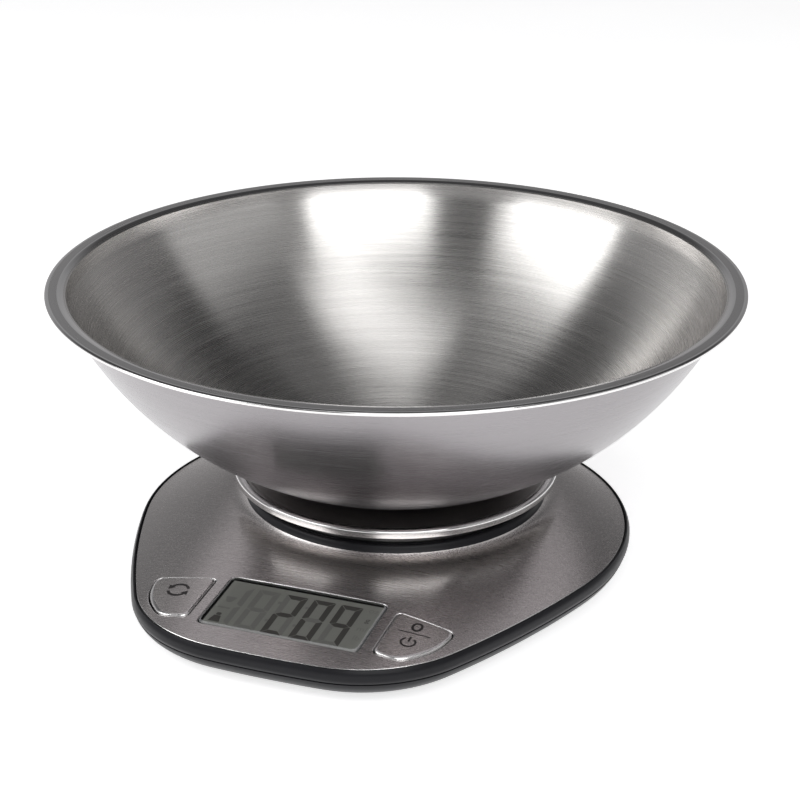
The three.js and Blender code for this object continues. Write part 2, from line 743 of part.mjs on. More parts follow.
function switchPlunger(side) {
  const top = SWITCH_H - BOARD_DEPTH;
  return onSlope(cylinder(1.6, top - 1.1 + KEY_TRAVEL, top + 0.8, side * KEY_CENTRE_X, 0, 12));
}

// ---- wires and small trim

function wire(points, r, segments = 10) {
  const path = new THREE.CatmullRomCurve3(points.map((p) => new THREE.Vector3(...p)));
  const round = new THREE.Shape().absarc(0, 0, r, 0, 2 * Math.PI);
  const options = { steps: segments, extrudePath: path, bevelEnabled: false, curveSegments: 3 };
  return solid(new THREE.ExtrudeGeometry(round, options));
}

function foot([x, y]) {
  return turned([
    [0, 0],
    [FOOT_PAD_R - 0.8, 0],
    [FOOT_PAD_R, 0.8],
    [FOOT_PAD_R, BOTTOM_Z + 1],
    [0, BOTTOM_Z + 1],
  ], 16).translate([x, y, 0]);
}

function gaugeCoat() {
  return roundedPlate(26, 10, 2, CELL_TOP + 0.1, CELL_TOP + 0.9);
}

// ---- assembly

function baseParts() {
  const under = FLOOR_Z + 1.6;
  const z = CELL_AXIS_Z;
  const lead = EDGE_Z - 7.4;
  return [
    mesh("lower_housing", lowerHousing(), "shell"),
    mesh("upper_housing", upperHousing(), "shell"),
    mesh("top_panel", topPanel(), "satinSteel"),
    mesh("display_lens", displayLens(), "lens"),
    mesh("lcd_glass", lcdGlass(), "liquidCrystal"),
    mesh("lcd_holder", lcdHolder(), "holder"),
    mesh("lcd_connector", lcdConnector(), "rubber"),
    mesh("circuit_board", circuitBoard(), "board"),
    mesh("chip_blob", chipBlob(), "chip"),
    ...BOARD_SCREWS.map((at, i) => mesh("board_screw_" + (i + 1), boardScrew(at), "zinc")),
    mesh("mode_switch", switchBody(-1), "switchBody"),
    mesh("zero_switch", switchBody(1), "switchBody"),
    mesh("load_cell", loadCell(), "aluminium"),
    mesh("gauge_coat", gaugeCoat(), "silicone"),
    mesh("cell_plate_lower", cellPlate(-1, FLOOR_Z + CELL_LIFT + GAP), "zinc"),
    ...CELL_HOLES.map((x, i) => mesh("cell_screw_" + (i + 1),
      screw(-x, 0, BOTTOM_Z + GAP, 9, 1), "zinc")),
    ...[0, 1].map((i) => mesh("battery_" + (i + 1), batteryCell(i), "batterySleeve")),
    mesh("contact_bridge", contactStrip(-1, [0, 1]), "nickel"),
    mesh("contact_plus", contactStrip(1, [0]), "nickel"),
    mesh("contact_minus", contactStrip(1, [1]), "nickel"),
    mesh("sensor_cable", wire([[0, -9.5, CELL_TOP - 3.3], [2, -22, lead + 0.6],
      [6, -48, under], [6, -60, under], [8, -66, lead]], 1.2), "greyWire"),
    mesh("wire_plus", wire([[31, AAA_Y, z], [42, 10, under], [44, -30, under],
      [30, -58, under], [18, -67, lead - 0.4]], 0.7), "redWire"),
    mesh("wire_minus", wire([[31, AAA_Y + AAA_PITCH, z], [46, 12, under], [48, -32, under],
      [34, -62, under], [24, -71, lead - 0.7]], 0.7), "blackWire"),
    ...FEET.map((at, i) => mesh("foot_" + (i + 1), foot(at), "rubber")),
    ...SCREWS.map(([x, y], i) => mesh("housing_screw_" + (i + 1),
      screw(x, y, BOTTOM_Z + GAP, 7, 1), "zinc")),
  ];
}

function keyParts(name, side) {
  return [
    mesh(name + "_key_face", keyFace(side), "satinSteel"),
    mesh(name + "_key_body", keyBody(side), "shell"),
    mesh(name + "_plunger", switchPlunger(side), "plunger"),
  ];
}

function platformParts() {
  return [
    mesh("tray_ring", trayRing(), "brightSteel"),
    mesh("tray_dish", trayDish(), "gloss"),
    mesh("carrier_plate", carrierPlate(), "zinc"),
    mesh("cell_plate_upper", cellPlate(1, UPPER_PLATE_Z), "zinc"),
    ...CELL_HOLES.map((x, i) => mesh("cell_screw_" + (i + 3),
      screw(x, 0, CARRIER_TOP + GAP + HEAD_H, 9, -1), "zinc")),
    ...carrierSpots().map(([x, y], i) => mesh("carrier_screw_" + (i + 1),
      screw(x, y, CARRIER_Z - GAP - HEAD_H, 6, 1), "zinc")),
  ];
}

const scale = new THREE.Group();
scale.add(
  ...baseParts(),
  ...keyParts("mode", -1),
  ...keyParts("zero", 1),
  mesh("battery_door", batteryDoor(), "shell"),
  ...platformParts(),
  mesh("bowl", bowl(), "bowlSteel"),
);

export default scale;
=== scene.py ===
"""A battery kitchen scale with a lift-off steel bowl: smooth meshes, procedural materials,
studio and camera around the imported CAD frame. Lengths are millimetres until a mesh is made."""
import math
import bpy
import bmesh
import numpy as np
from mathutils import Matrix, Vector
from mathutils.geometry import delaunay_2d_cdt


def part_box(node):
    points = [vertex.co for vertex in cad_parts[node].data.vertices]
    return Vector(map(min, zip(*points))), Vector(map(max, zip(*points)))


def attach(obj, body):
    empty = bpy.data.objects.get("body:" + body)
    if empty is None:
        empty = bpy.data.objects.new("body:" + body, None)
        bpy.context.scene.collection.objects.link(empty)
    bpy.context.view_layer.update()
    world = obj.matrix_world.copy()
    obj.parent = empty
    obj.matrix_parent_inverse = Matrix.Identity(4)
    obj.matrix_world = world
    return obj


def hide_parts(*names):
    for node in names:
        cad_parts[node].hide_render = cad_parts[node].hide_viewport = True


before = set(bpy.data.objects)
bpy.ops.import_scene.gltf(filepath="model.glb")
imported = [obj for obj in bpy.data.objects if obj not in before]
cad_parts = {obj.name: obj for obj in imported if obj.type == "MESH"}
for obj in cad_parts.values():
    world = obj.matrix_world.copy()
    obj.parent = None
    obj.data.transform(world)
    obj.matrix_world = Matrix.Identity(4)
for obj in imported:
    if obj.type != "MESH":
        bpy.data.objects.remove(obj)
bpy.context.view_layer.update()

MM = 0.001


def extent(node):
    """Lowest and highest corner of a CAD node, in millimetres."""
    low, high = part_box(node)
    return np.array(low) / MM, np.array(high) / MM


# ---- heights and radii, read from the frame, in millimetres
BOWL_LOW, BOWL_HIGH = extent("bowl")
BOWL_Z, RIM_Z, BOWL_R = BOWL_LOW[2], BOWL_HIGH[2], BOWL_HIGH[0]
RING_LOW, RING_HIGH = extent("tray_ring")
RING_Z, RING_TOP, RING_R = RING_LOW[2], RING_HIGH[2], RING_HIGH[0]
PEDESTAL_Z = extent("top_panel")[1][2]
BOTTOM_Z = extent("lower_housing")[0][2]
BOSS_Z = extent("upper_housing")[1][2]

# ---- shape of the base, the same arcs and levels as the CAD
BACK_R = 85
CORNER_R = 44.5
CORNER_X, CORNER_Y = 16.5, -73.3
FLANK_R = 312
FRONT_R = 350
EDGE_Z = 14
SEAM_Z = 9
RISE = 4.5
FOOT_R = 59.5
FOOT_Z = EDGE_Z + RISE
PEDESTAL_R = 52.4
PANEL_T = 0.8
BOSS_R = 50.6
GAP = 0.3
SLIP = 0.4
SHELL_OUT = 1.7
WINDOW_W, WINDOW_H, WINDOW_CUT = 55.4, 28.4, 2.4
KEY_PROUD = 0.45
SCREW_SPOTS = [(0, -62), (-63, -24), (63, -24), (-35, 48), (35, 48)]
FOOT_SPOTS = [(-30, -90), (30, -90), (-50, 30), (50, 30)]
CELL_SCREW_SPOTS = [(-25.5, 0), (-33.5, 0)]
AAA_R, AAA_HALF, AAA_Z = 5.25, 22.25, 9.15
AAA_SPOTS = (22.5, 33.9)


# ======== mesh helpers
def bend(a, b, c, steps):
    """Points of the quadratic curve from a to c that is pulled towards b."""
    a, b, c = (np.array(p, float) for p in (a, b, c))
    t = np.linspace(0, 1, steps + 1)[:, None]
    return (1 - t) ** 2 * a + 2 * t * (1 - t) * b + t * t * c


def rounded(corners, cuts, steps=5, closed=True):
    """A polyline whose corners are rounded, each by its own cut-back length."""
    points = np.array(corners, float)
    count = len(points)
    out = []
    for i, here in enumerate(points):
        cut = cuts[i] if hasattr(cuts, "__len__") else cuts
        if cut == 0 or (not closed and i in (0, count - 1)):
            out.append(here)
            continue
        before, after = points[i - 1] - here, points[(i + 1) % count] - here
        start = here + before / np.linalg.norm(before) * cut
        end = here + after / np.linalg.norm(after) * cut
        out.extend(bend(start, here, end, steps))
    return np.array(out)


def circle(x, y, r, count=48):
    turn = np.linspace(0, 2 * np.pi, count, endpoint=False)
    return np.column_stack([x + r * np.cos(turn), y + r * np.sin(turn)])


def rectangle(x0, x1, y0, y1, cut, steps=5):
    return rounded([(x0, y0), (x1, y0), (x1, y1), (x0, y1)], cut, steps)


def inside(points, loop):
    """Which of the points lie in a closed loop, by even-odd crossings."""
    x, y = points[:, 0][:, None], points[:, 1][:, None]
    x0, y0 = loop[:, 0], loop[:, 1]
    x1, y1 = np.roll(x0, -1), np.roll(y0, -1)
    straddles = (y0 > y) != (y1 > y)
    rise = np.where(y1 == y0, 1e-12, y1 - y0)
    crossing = x < (x1 - x0) * (y - y0) / rise + x0
    return (straddles & crossing).sum(1) % 2 == 1


class Shape:
    """Vertices in millimetres, faces and each face's material zone."""

    def __init__(self):
        self.verts, self.faces, self.zones = [], [], []

    def add(self, verts, faces, zone=0):
        base = len(self.verts)
        self.verts.extend(tuple(float(c) for c in v) for v in verts)
        self.faces.extend(tuple(int(i) + base for i in f) for f in faces)
        self.zones.extend(zone if hasattr(zone, "__len__") else [zone] * len(faces))

    def loft(self, loops, zone=0, caps=(False, False)):
        """Quads through stacked closed loops; zone may be a list, one for each band."""
        count, rows = len(loops[0]), len(loops)
        verts = np.concatenate([np.array(loop, float) for loop in loops])
        faces, zones = [], []
        for k in range(rows - 1):
            band = zone[k] if hasattr(zone, "__len__") else zone
            for i in range(count):
                j = (i + 1) % count
                a, b = k * count, (k + 1) * count
                faces.append((a + i, a + j, b + j, b + i))
                zones.append(band)
        if caps[0]:
            faces.append(tuple(reversed(range(count))))
            zones.append(zones[0])
        if caps[1]:
            faces.append(tuple(range((rows - 1) * count, rows * count)))
            zones.append(zones[-1 - int(caps[0])])
        self.add(verts, faces, zones)

    def turned(self, profile, zone=0, segments=128, x=0, y=0):
        """A surface of revolution about Z through open [r, z] points."""
        turn = np.linspace(0, 2 * np.pi, segments, endpoint=False)
        ring = [np.column_stack([x + r * np.cos(turn), y + r * np.sin(turn),
                                 np.full(segments, z)]) for r, z in profile]
        self.loft(ring, zone)

    def sheet(self, outer, holes, z, zone=0, extra=None, up=True):
        """A triangulated region with holes; z is a height or a function of x and y."""
        loops = [np.array(outer), *[np.array(h) for h in holes]]
        points = np.concatenate(loops)
        edges, base = [], 0
        for loop in loops:
            n = len(loop)
            edges += [(base + i, base + (i + 1) % n) for i in range(n)]
            base += n
        if extra is not None:
            points = np.concatenate([points, extra])
        found = delaunay_2d_cdt([Vector(p) for p in points], edges, [], 0, 1e-7)
        flat = np.array([tuple(v) for v in found[0]])
        faces = np.array([f for f in found[2]])
        middle = flat[faces].mean(1)
        keep = inside(middle, loops[0])
        for hole in loops[1:]:
            keep &= ~inside(middle, hole)
        faces = faces[keep]
        a, b, c = (flat[faces[:, i]] for i in range(3))
        area = (b - a)[:, 0] * (c - a)[:, 1] - (b - a)[:, 1] * (c - a)[:, 0]
        faces = np.where(((area > 0) == up)[:, None], faces, faces[:, ::-1])
        height = z(flat[:, 0], flat[:, 1]) if callable(z) else np.full(len(flat), z)
        self.add(np.column_stack([flat, height]), faces, zone)


def piece(name, shape, materials, body, replaced=(), weld=True, recalc=True,
          sharp=40, normals=None, at=(0, 0, 0)):
    """Makes an object of a Shape and hands it to the frame."""
    mesh = bpy.data.meshes.new(name)
    verts = np.array(shape.verts) * MM
    mesh.from_pydata(verts.tolist(), [], shape.faces)
    for m in materials:
        mesh.materials.append(m)
    mesh.polygons.foreach_set("material_index", shape.zones)
    mesh.polygons.foreach_set("use_smooth", [True] * len(mesh.polygons))
    if weld or recalc:
        bm = bmesh.new()
        bm.from_mesh(mesh)
        if weld:
            bmesh.ops.remove_doubles(bm, verts=bm.verts, dist=1e-7)
            flat = [f for f in bm.faces if f.calc_area() < 1e-14]
            bmesh.ops.delete(bm, geom=flat, context="FACES")
        if recalc:
            bmesh.ops.recalc_face_normals(bm, faces=bm.faces)
        bm.to_mesh(mesh)
        bm.free()
    if normals is not None:
        mesh.normals_split_custom_set_from_vertices(normals)
    elif sharp:
        mesh.set_sharp_from_angle(angle=math.radians(sharp))
    obj = bpy.data.objects.new(name, mesh)
    bpy.context.scene.collection.objects.link(obj)
    obj.location = Vector(at) * MM
    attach(obj, body)
    if replaced:
        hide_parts(*replaced)
    return obj


# ======== materials
class Look:
    """A Principled material and the nodes that drive it."""

    def __init__(self, name, colour, roughness, metallic=0.0, **sockets):
        self.mat = bpy.data.materials.new(name)
        self.mat.use_nodes = True
        self.nodes = self.mat.node_tree.nodes
        self.links = self.mat.node_tree.links
        self.shader = self.nodes["Principled BSDF"]
        self.set(Base_Color=(*colour, 1), Roughness=roughness, Metallic=metallic, **sockets)

    def set(self, **sockets):
        for key, value in sockets.items():
            self.shader.inputs[key.replace("_", " ")].default_value = value

    def node(self, kind, props=None, **inputs):
        made = self.nodes.new("ShaderNode" + kind)
        for key, value in (props or {}).items():
            setattr(made, key, value)
        for key, value in inputs.items():
            key = int(key[1:]) if key[0] == "i" and key[1:].isdigit() else key.replace("_", " ")
            socket = made.inputs[key]
            if isinstance(value, bpy.types.NodeSocket):
                self.links.new(value, socket)
            else:
                socket.default_value = value
        return made

    def place(self):
        return self.node("TexCoord").outputs["Object"]

    def scaled(self, x, y, z):
        """Object coordinates, stretched by a factor per metre on each axis."""
        return self.node("Mapping", Vector=self.place(), Scale=(x, y, z)).outputs[0]

    def around(self, along, across):
        """Coordinates that run slowly round the Z axis and fast along a turned profile."""
        parts = self.node("SeparateXYZ", Vector=self.place()).outputs
        flat = self.node("CombineXYZ", X=parts[0], Y=parts[1], Z=0.0).outputs[0]
        unit = self.node("VectorMath", {"operation": "NORMALIZE"}, i0=flat).outputs[0]
        reach = self.node("VectorMath", {"operation": "LENGTH"}, i0=flat).outputs["Value"]
        total = self.node("Math", {"operation": "ADD"}, i0=reach, i1=parts[2]).outputs[0]
        fast = self.node("Math", {"operation": "MULTIPLY"}, i0=total, i1=across).outputs[0]
        slow = self.node("VectorMath", {"operation": "SCALE"}, i0=unit, Scale=along).outputs[0]
        lift = self.node("CombineXYZ", X=0.0, Y=0.0, Z=fast).outputs[0]
        return self.node("VectorMath", {"operation": "ADD"}, i0=slow, i1=lift).outputs[0]

    def noise(self, vector, scale=1.0, detail=4.0, rough=0.6):
        return self.node("TexNoise", Vector=vector, Scale=scale, Detail=detail,
                         Roughness=rough).outputs["Fac"]

    def span(self, value, low, high, start=0.25, stop=0.75):
        """Maps a noise value to a range."""
        return self.node("MapRange", Value=value, From_Min=start, From_Max=stop,
                         To_Min=low, To_Max=high).outputs[0]

    def tint(self, value, dark, light):
        """Drives the base colour between two tones."""
        mix = self.node("Mix", {"data_type": "RGBA"}, Factor=value)
        mix.inputs[6].default_value = (*dark, 1)
        mix.inputs[7].default_value = (*light, 1)
        self.links.new(mix.outputs[2], self.shader.inputs["Base Color"])
        return mix.outputs[2]

    def rough(self, value):
        self.links.new(value, self.shader.inputs["Roughness"])

    def bump(self, value, distance, strength=0.5):
        made = self.node("Bump", Height=value, Strength=strength, Distance=distance)
        if self.shader.inputs["Normal"].is_linked:
            before = self.shader.inputs["Normal"].links[0].from_socket
            self.links.new(before, made.inputs["Normal"])
        self.links.new(made.outputs[0], self.shader.inputs["Normal"])

    def tangent(self, vector=None):
        """Brushing direction: round the Z axis, or square to a given vector."""
        if vector is None:
            made = self.node("Tangent", {"direction_type": "RADIAL", "axis": "Z"}).outputs[0]
        else:
            made = self.node("CombineXYZ", X=vector[0], Y=vector[1], Z=vector[2]).outputs[0]
        self.links.new(made, self.shader.inputs["Tangent"])


def shade(colour, factor):
    return tuple(min(1.0, c * factor) for c in colour)


def brushed(name, colour, roughness, aniso, lines, along_x=False, depth=1.2e-5,
            contrast=0.14, spread=0.06, along=3.0):
    """Metal with fine brush lines: round the axis, or along X."""
    look = Look(name, colour, roughness, 1.0, Anisotropic=aniso)
    if along_x:
        look.tangent((0.0, 1.0, 0.0))
        fine = look.noise(look.scaled(22, lines, lines), detail=5)
        broad = look.noise(look.scaled(7, lines * 0.22, lines * 0.22), detail=3)
    else:
        look.set(Anisotropic_Rotation=0.25)
        look.tangent()
        fine = look.noise(look.around(along, lines), detail=5)
        broad = look.noise(look.around(along * 0.4, lines * 0.22), detail=3)
    both = look.node("Math", {"operation": "MULTIPLY_ADD"}, i0=broad, i1=0.6,
                     i2=look.node("Math", {"operation": "MULTIPLY"}, i0=fine,
                                  i1=0.4).outputs[0]).outputs[0]
    look.tint(look.span(both, 0, 1), shade(colour, 1 - contrast), shade(colour, 1 + contrast))
    look.rough(look.span(fine, roughness - spread, roughness + spread))
    look.bump(both, depth, 0.6)
    smudge = look.noise(look.place(), 26, 3)
    look.bump(smudge, 4e-5, 0.06)
    return look.mat


def polished(name, colour, roughness=0.09):
    """Bright polished metal with faint hairlines and haze."""
    look = Look(name, colour, roughness, 1.0)
    haze = look.noise(look.place(), 55, 4)
    line = look.noise(look.around(3.0, 2600), detail=4)
    look.rough(look.span(haze, roughness - 0.03, roughness + 0.06))
    look.tint(look.span(line, 0, 1), shade(colour, 0.93), shade(colour, 1.04))
    look.bump(line, 4e-6, 0.4)
    return look.mat


def moulded(name, colour, roughness, grain=2600, depth=1.6e-5, lift=1.35, **sockets):
    """Moulded plastic: spark-eroded grain, faint flow variation and random lighter and darker
    tone.
    """
    look = Look(name, colour, roughness, **sockets)
    fine = look.noise(look.place(), grain, 3, 0.65)
    flow = look.noise(look.place(), 38, 4)
    both = look.node("Math", {"operation": "MULTIPLY_ADD"}, i0=flow, i1=0.6,
                     i2=look.node("Math", {"operation": "MULTIPLY"}, i0=fine,
                                  i1=0.4).outputs[0]).outputs[0]
    look.tint(look.span(both, 0, 1), shade(colour, 2 - lift), shade(colour, lift))
    look.rough(look.span(flow, roughness - 0.05, roughness + 0.07))
    look.bump(fine, depth, 0.5)
    return look.mat


def board_look():
    look = Look("board_green", (0.03, 0.16, 0.07), 0.38, Coat_Weight=0.4, Coat_Roughness=0.2)
    grid = look.node("TexBrick", {"offset": 0.5}, Vector=look.scaled(1, 1, 1),
                     Color1=(0.03, 0.17, 0.075, 1), Color2=(0.022, 0.13, 0.06, 1),
                     Mortar=(0.06, 0.25, 0.12, 1), Scale=190.0)
    look.links.new(grid.outputs["Color"], look.shader.inputs["Base Color"])
    look.rough(look.span(look.noise(look.place(), 300), 0.3, 0.5))
    look.bump(grid.outputs["Fac"], 3e-5, 0.5)
    return look.mat


def sleeve_look():
    """Battery sleeve: dark barrel with a copper band towards one end."""
    look = Look("battery_sleeve", (0.03, 0.04, 0.05), 0.28, 0.35, Coat_Weight=0.5)
    x = look.node("SeparateXYZ", Vector=look.place()).outputs[0]
    speck = look.noise(look.place(), 900)
    side = look.node("Math", {"operation": "GREATER_THAN"}, i0=x, i1=0.0085).outputs[0]
    look.tint(side, (0.028, 0.033, 0.04), (0.5, 0.22, 0.09))
    look.rough(look.span(speck, 0.24, 0.36))
    look.bump(speck, 6e-6, 0.3)
    return look.mat


def lens_look(name, clear, roughness, colour):
    """Clear plastic as a thin see-through layer with a fresnel gloss."""
    look = Look(name, colour, roughness, IOR=1.49)
    through = look.node("BsdfTransparent", Color=(0.93, 0.95, 0.93, 1)).outputs[0]
    edge = look.node("LayerWeight", Blend=0.28).outputs["Fresnel"]
    weight = look.node("Math", {"operation": "MULTIPLY_ADD", "use_clamp": True},
                       i0=edge, i1=0.9, i2=1 - clear).outputs[0]
    mix = look.node("MixShader", Fac=weight)
    look.links.new(through, mix.inputs[1])
    look.links.new(look.shader.outputs[0], mix.inputs[2])
    out = look.nodes["Material Output"]
    look.links.new(mix.outputs[0], out.inputs["Surface"])
    smear = look.noise(look.place(), 70, 3)
    look.rough(look.span(smear, roughness, roughness + 0.05))
    look.tint(look.span(smear, 0, 1), shade(colour, 0.9), shade(colour, 1.1))
    return look.mat


bowl_inner = brushed("bowl_inner", (0.66, 0.645, 0.63), 0.27, 0.85, 3400, along=1.5,
                     depth=0.9e-5, contrast=0.13, spread=0.06)
# The outer wall is a darker, faintly lilac copy of the inner steel: painted shade that dims the
# floor's reflection, and a painted lilac reflection tint.
bowl_outer_painted_shade = brushed("bowl_outer_painted_shade", (0.32, 0.305, 0.315), 0.25, 0.55, 3400,
                     depth=0.5e-5, contrast=0.05)
bowl_flange = brushed("bowl_flange", (0.56, 0.55, 0.545), 0.24, 0.5, 2600,
                      depth=0.4e-5, contrast=0.06)
bright = polished("bright_steel", (0.80, 0.79, 0.785), 0.08)
edge_look = polished("edge_steel", (0.85, 0.84, 0.835), 0.22)
panel_look = brushed("panel_steel", (0.66, 0.63, 0.62), 0.27, 0.7, 4200, along_x=True,
                     depth=0.3e-5, contrast=0.07, spread=0.04)
key_look = brushed("key_steel", (0.68, 0.65, 0.635), 0.27, 0.7, 4200, along_x=True,
                   depth=0.3e-5, contrast=0.07, spread=0.04)
ring_look = brushed("ring_steel", (0.72, 0.71, 0.705), 0.14, 0.35, 3000,
                    depth=0.3e-5, contrast=0.05, spread=0.04)
zinc = brushed("zinc_steel", (0.52, 0.53, 0.545), 0.34, 0.1, 3000, depth=0.5e-5)
aluminium = brushed("cell_aluminium", (0.66, 0.67, 0.69), 0.34, 0.5, 2200, along_x=True)
nickel = brushed("contact_nickel", (0.68, 0.65, 0.58), 0.22, 0.2, 2600, along_x=True)
black = moulded("housing_black", (0.008, 0.008, 0.010), 0.36, Specular_IOR_Level=0.2)
key_black = moulded("key_plastic", (0.024, 0.024, 0.026), 0.42)
gloss = moulded("dish_gloss", (0.010, 0.010, 0.011), 0.10, grain=400, depth=2e-6,
                Coat_Weight=0.6, Coat_Roughness=0.04)
dish_look = polished("dish_dark", (0.50, 0.48, 0.47), 0.36)
rubber = moulded("foot_rubber", (0.022, 0.022, 0.023), 0.78, grain=1500, depth=4e-5)
holder = moulded("holder_black", (0.014, 0.014, 0.015), 0.6)
connector = moulded("connector_rubber", (0.05, 0.045, 0.045), 0.65, grain=1200)
chip = moulded("chip_black", (0.012, 0.012, 0.013), 0.3, grain=500, depth=3e-5)
switch = moulded("switch_black", (0.03, 0.03, 0.033), 0.45)
cream = moulded("plunger_cream", (0.72, 0.66, 0.54), 0.45, lift=1.1)
silicone = moulded("coat_white", (0.82, 0.82, 0.78), 0.5, grain=300, depth=8e-5, lift=1.06)
red_wire = moulded("wire_red", (0.42, 0.02, 0.015), 0.42, lift=1.2)
black_wire = moulded("wire_black", (0.015, 0.015, 0.016), 0.42)
grey_wire = moulded("wire_grey", (0.28, 0.29, 0.3), 0.5, lift=1.2)
ink = moulded("printed_ink", (0.016, 0.014, 0.014), 0.5, grain=1800, depth=4e-6)
lcd_look = moulded("lcd_face", (0.43, 0.42, 0.40), 0.42, grain=800, depth=2e-6, lift=1.05)
lcd_dark = moulded("lcd_digit", (0.125, 0.115, 0.112), 0.45, grain=900, depth=2e-6, lift=1.1)
lcd_ghost = moulded("lcd_ghost", (0.335, 0.325, 0.315), 0.42, grain=900, depth=2e-6, lift=1.05)
lcd_border = moulded("lcd_border", (0.045, 0.046, 0.042), 0.4, grain=900, depth=2e-6)
lens_clear = lens_look("lens_clear", 0.97, 0.03, (0.02, 0.02, 0.02))
lens_bevel = lens_look("lens_bevel", 0.6, 0.15, (0.4, 0.4, 0.41))
board = board_look()
sleeve = sleeve_look()


# ======== bowl
def bowl():
    foot = [32, BOWL_Z]
    knee = [BOWL_R * 0.423, BOWL_Z + 5.9]
    top = [BOWL_R - 4.7, RIM_Z - 0.6]
    wall = np.concatenate([
        bend(foot, [37.5, BOWL_Z], knee, 14),
        bend(knee, [BOWL_R - 25.7, BOWL_Z + 24.4], top, 56)[1:],
    ])
    along = np.gradient(wall, axis=0)
    along /= np.linalg.norm(along, axis=1)[:, None]
    inner = wall + np.column_stack([-along[:, 1], along[:, 0]])
    outer = wall[:-1]
    lip = rounded([outer[-1], (BOWL_R - 3.4, RIM_Z - 1.15), (BOWL_R - 1, RIM_Z - 1.5),
                   (BOWL_R, RIM_Z - 1.2), (BOWL_R, RIM_Z - 0.25),
                   (BOWL_R - 0.75, RIM_Z), (BOWL_R - 1.4, RIM_Z - 0.02)],
                  [0, 0.8, 0.35, 0.35, 0.35, 0.3, 0], 5, closed=False)
    flange = [(BOWL_R - 2.5, RIM_Z - 0.04), (BOWL_R - 4.2, RIM_Z - 0.04)]
    edge = bend((BOWL_R - 4.45, RIM_Z - 0.05), (BOWL_R - 4.95, RIM_Z - 0.06),
                (inner[-3][0] - 0.02, RIM_Z - 0.9), 5)
    inner = inner[:-3][::-1]
    centre = [(r, BOWL_Z) for r in (0, 6, 14, 24)]
    floor = [(r, BOWL_Z + 1) for r in (24, 14, 6, 0)]
    profile = [*centre, *outer, *lip[1:], *flange, *edge, *inner, *floor]
    sizes = [len(centre) + len(outer), len(lip) - 1, len(flange), len(edge) - 1]
    zones = [1] * (sizes[0] - 1) + [2] * sizes[1] + [3] * sizes[2] + [2] * sizes[3]
    zones += [0] * (len(profile) - 1 - len(zones))
    shape = Shape()
    shape.turned(profile, zones, segments=288)
    piece("bowl_spun", shape, [bowl_inner, bowl_outer_painted_shade, bright, bowl_flange],
          "bowl", ["bowl"], sharp=50)


# ======== platform
def platform():
    inner = RING_R - 2.8
    ring = rounded([(inner, RING_Z), (RING_R - 0.1, RING_Z), (RING_R, RING_TOP - 0.5),
                    (RING_R - 1.1, RING_TOP), (inner + 0.5, RING_TOP), (inner, RING_TOP - 0.7)],
                   [0.3, 0.4, 0.7, 0.6, 0.3, 0.3], 6)
    shape = Shape()
    shape.turned([*ring, ring[0]], 0, segments=256)
    piece("tray_ring_bright", shape, [ring_look], "platform", ["tray_ring"])
    rim = inner - 0.3
    top, low = RING_Z + 1.55, RING_Z - 2.25
    dish = rounded([(0, low + 4e-3), (49.1, low), (rim - 0.4, RING_Z), (rim, RING_Z + 0.4),
                    (rim, RING_TOP - 0.9), (rim - 1, RING_TOP - 0.9), (rim - 1.7, top),
                    (0, top)], [0, 0.8, 0.4, 0.2, 0.2, 0.3, 0.8, 0], 5, closed=False)
    shape = Shape()
    shape.turned(dish, 0, segments=192)
    shape.turned([(20.5, low + 0.5), (20.5, low - 4.9), (20.2, low - 5.2), (12.5, low - 5.2),
                  (12.5, low + 0.5)], 1, segments=64)
    piece("tray_dish_gloss", shape, [dish_look, black], "platform", ["tray_dish"])


# ======== base outline and panel
def arcs():
    front_y = CORNER_Y + math.sqrt((FRONT_R - CORNER_R) ** 2 - CORNER_X ** 2)
    dx, dy = CORNER_X, CORNER_Y + 11
    apart = math.hypot(dx, dy)
    reach = FLANK_R - BACK_R
    along = (reach ** 2 - (FLANK_R - CORNER_R) ** 2 + apart ** 2) / (2 * apart)
    across = math.sqrt(reach ** 2 - along ** 2)
    flank = ((along * dx + across * dy) / apart, -11 + (along * dy - across * dx) / apart)
    return [(0, front_y, FRONT_R), (CORNER_X, CORNER_Y, CORNER_R), (*flank, FLANK_R),
            (0, -11, BACK_R)]


ARCS = arcs()


def outline(out=0.0, steps=(10, 26, 22, 44)):
    """The base's outline, moved outwards, from the front middle anticlockwise."""
    angle = lambda a, b: math.atan2(b[1] - a[1], b[0] - a[0])
    joints = [-math.pi / 2, angle(ARCS[0], ARCS[1]), angle(ARCS[2], ARCS[1]),
              angle(ARCS[2], ARCS[3]), math.pi / 2]
    right = []
    for (x, y, r), a, b, n in zip(ARCS, joints, joints[1:], steps):
        for turn in np.linspace(a, b, n, endpoint=False):
            right.append((x + (r + out) * math.cos(turn), y + (r + out) * math.sin(turn)))
    top = (0, -11 + BACK_R + out)
    left = [(-x, y) for x, y in reversed(right[1:])]
    return np.array([*right, top, *left])


DENSE = outline(0, (200, 500, 400, 900))
DENSE_TURN = np.arctan2(DENSE[:, 1], DENSE[:, 0])
ORDER = np.argsort(DENSE_TURN)
DENSE_TURN, DENSE_R = DENSE_TURN[ORDER], np.hypot(*DENSE[ORDER].T)


def panel_z(x, y):
    """Height of the crowned panel outside the pedestal's foot."""
    reach = np.interp(np.arctan2(y, x), DENSE_TURN, DENSE_R, period=2 * np.pi)
    t = (np.hypot(x, y) - FOOT_R) / (reach - FOOT_R)
    return EDGE_Z + RISE * (1 - np.clip(t, 0, None) ** 1.5)


DISPLAY_Y = -93.3
DISPLAY_Z = float(panel_z(np.array(0.0), np.array(DISPLAY_Y)))
SLOPE = math.atan(float(panel_z(np.array(0.0), np.array(DISPLAY_Y + 0.3)) - panel_z(
    np.array(0.0), np.array(DISPLAY_Y - 0.3))) / 0.6)


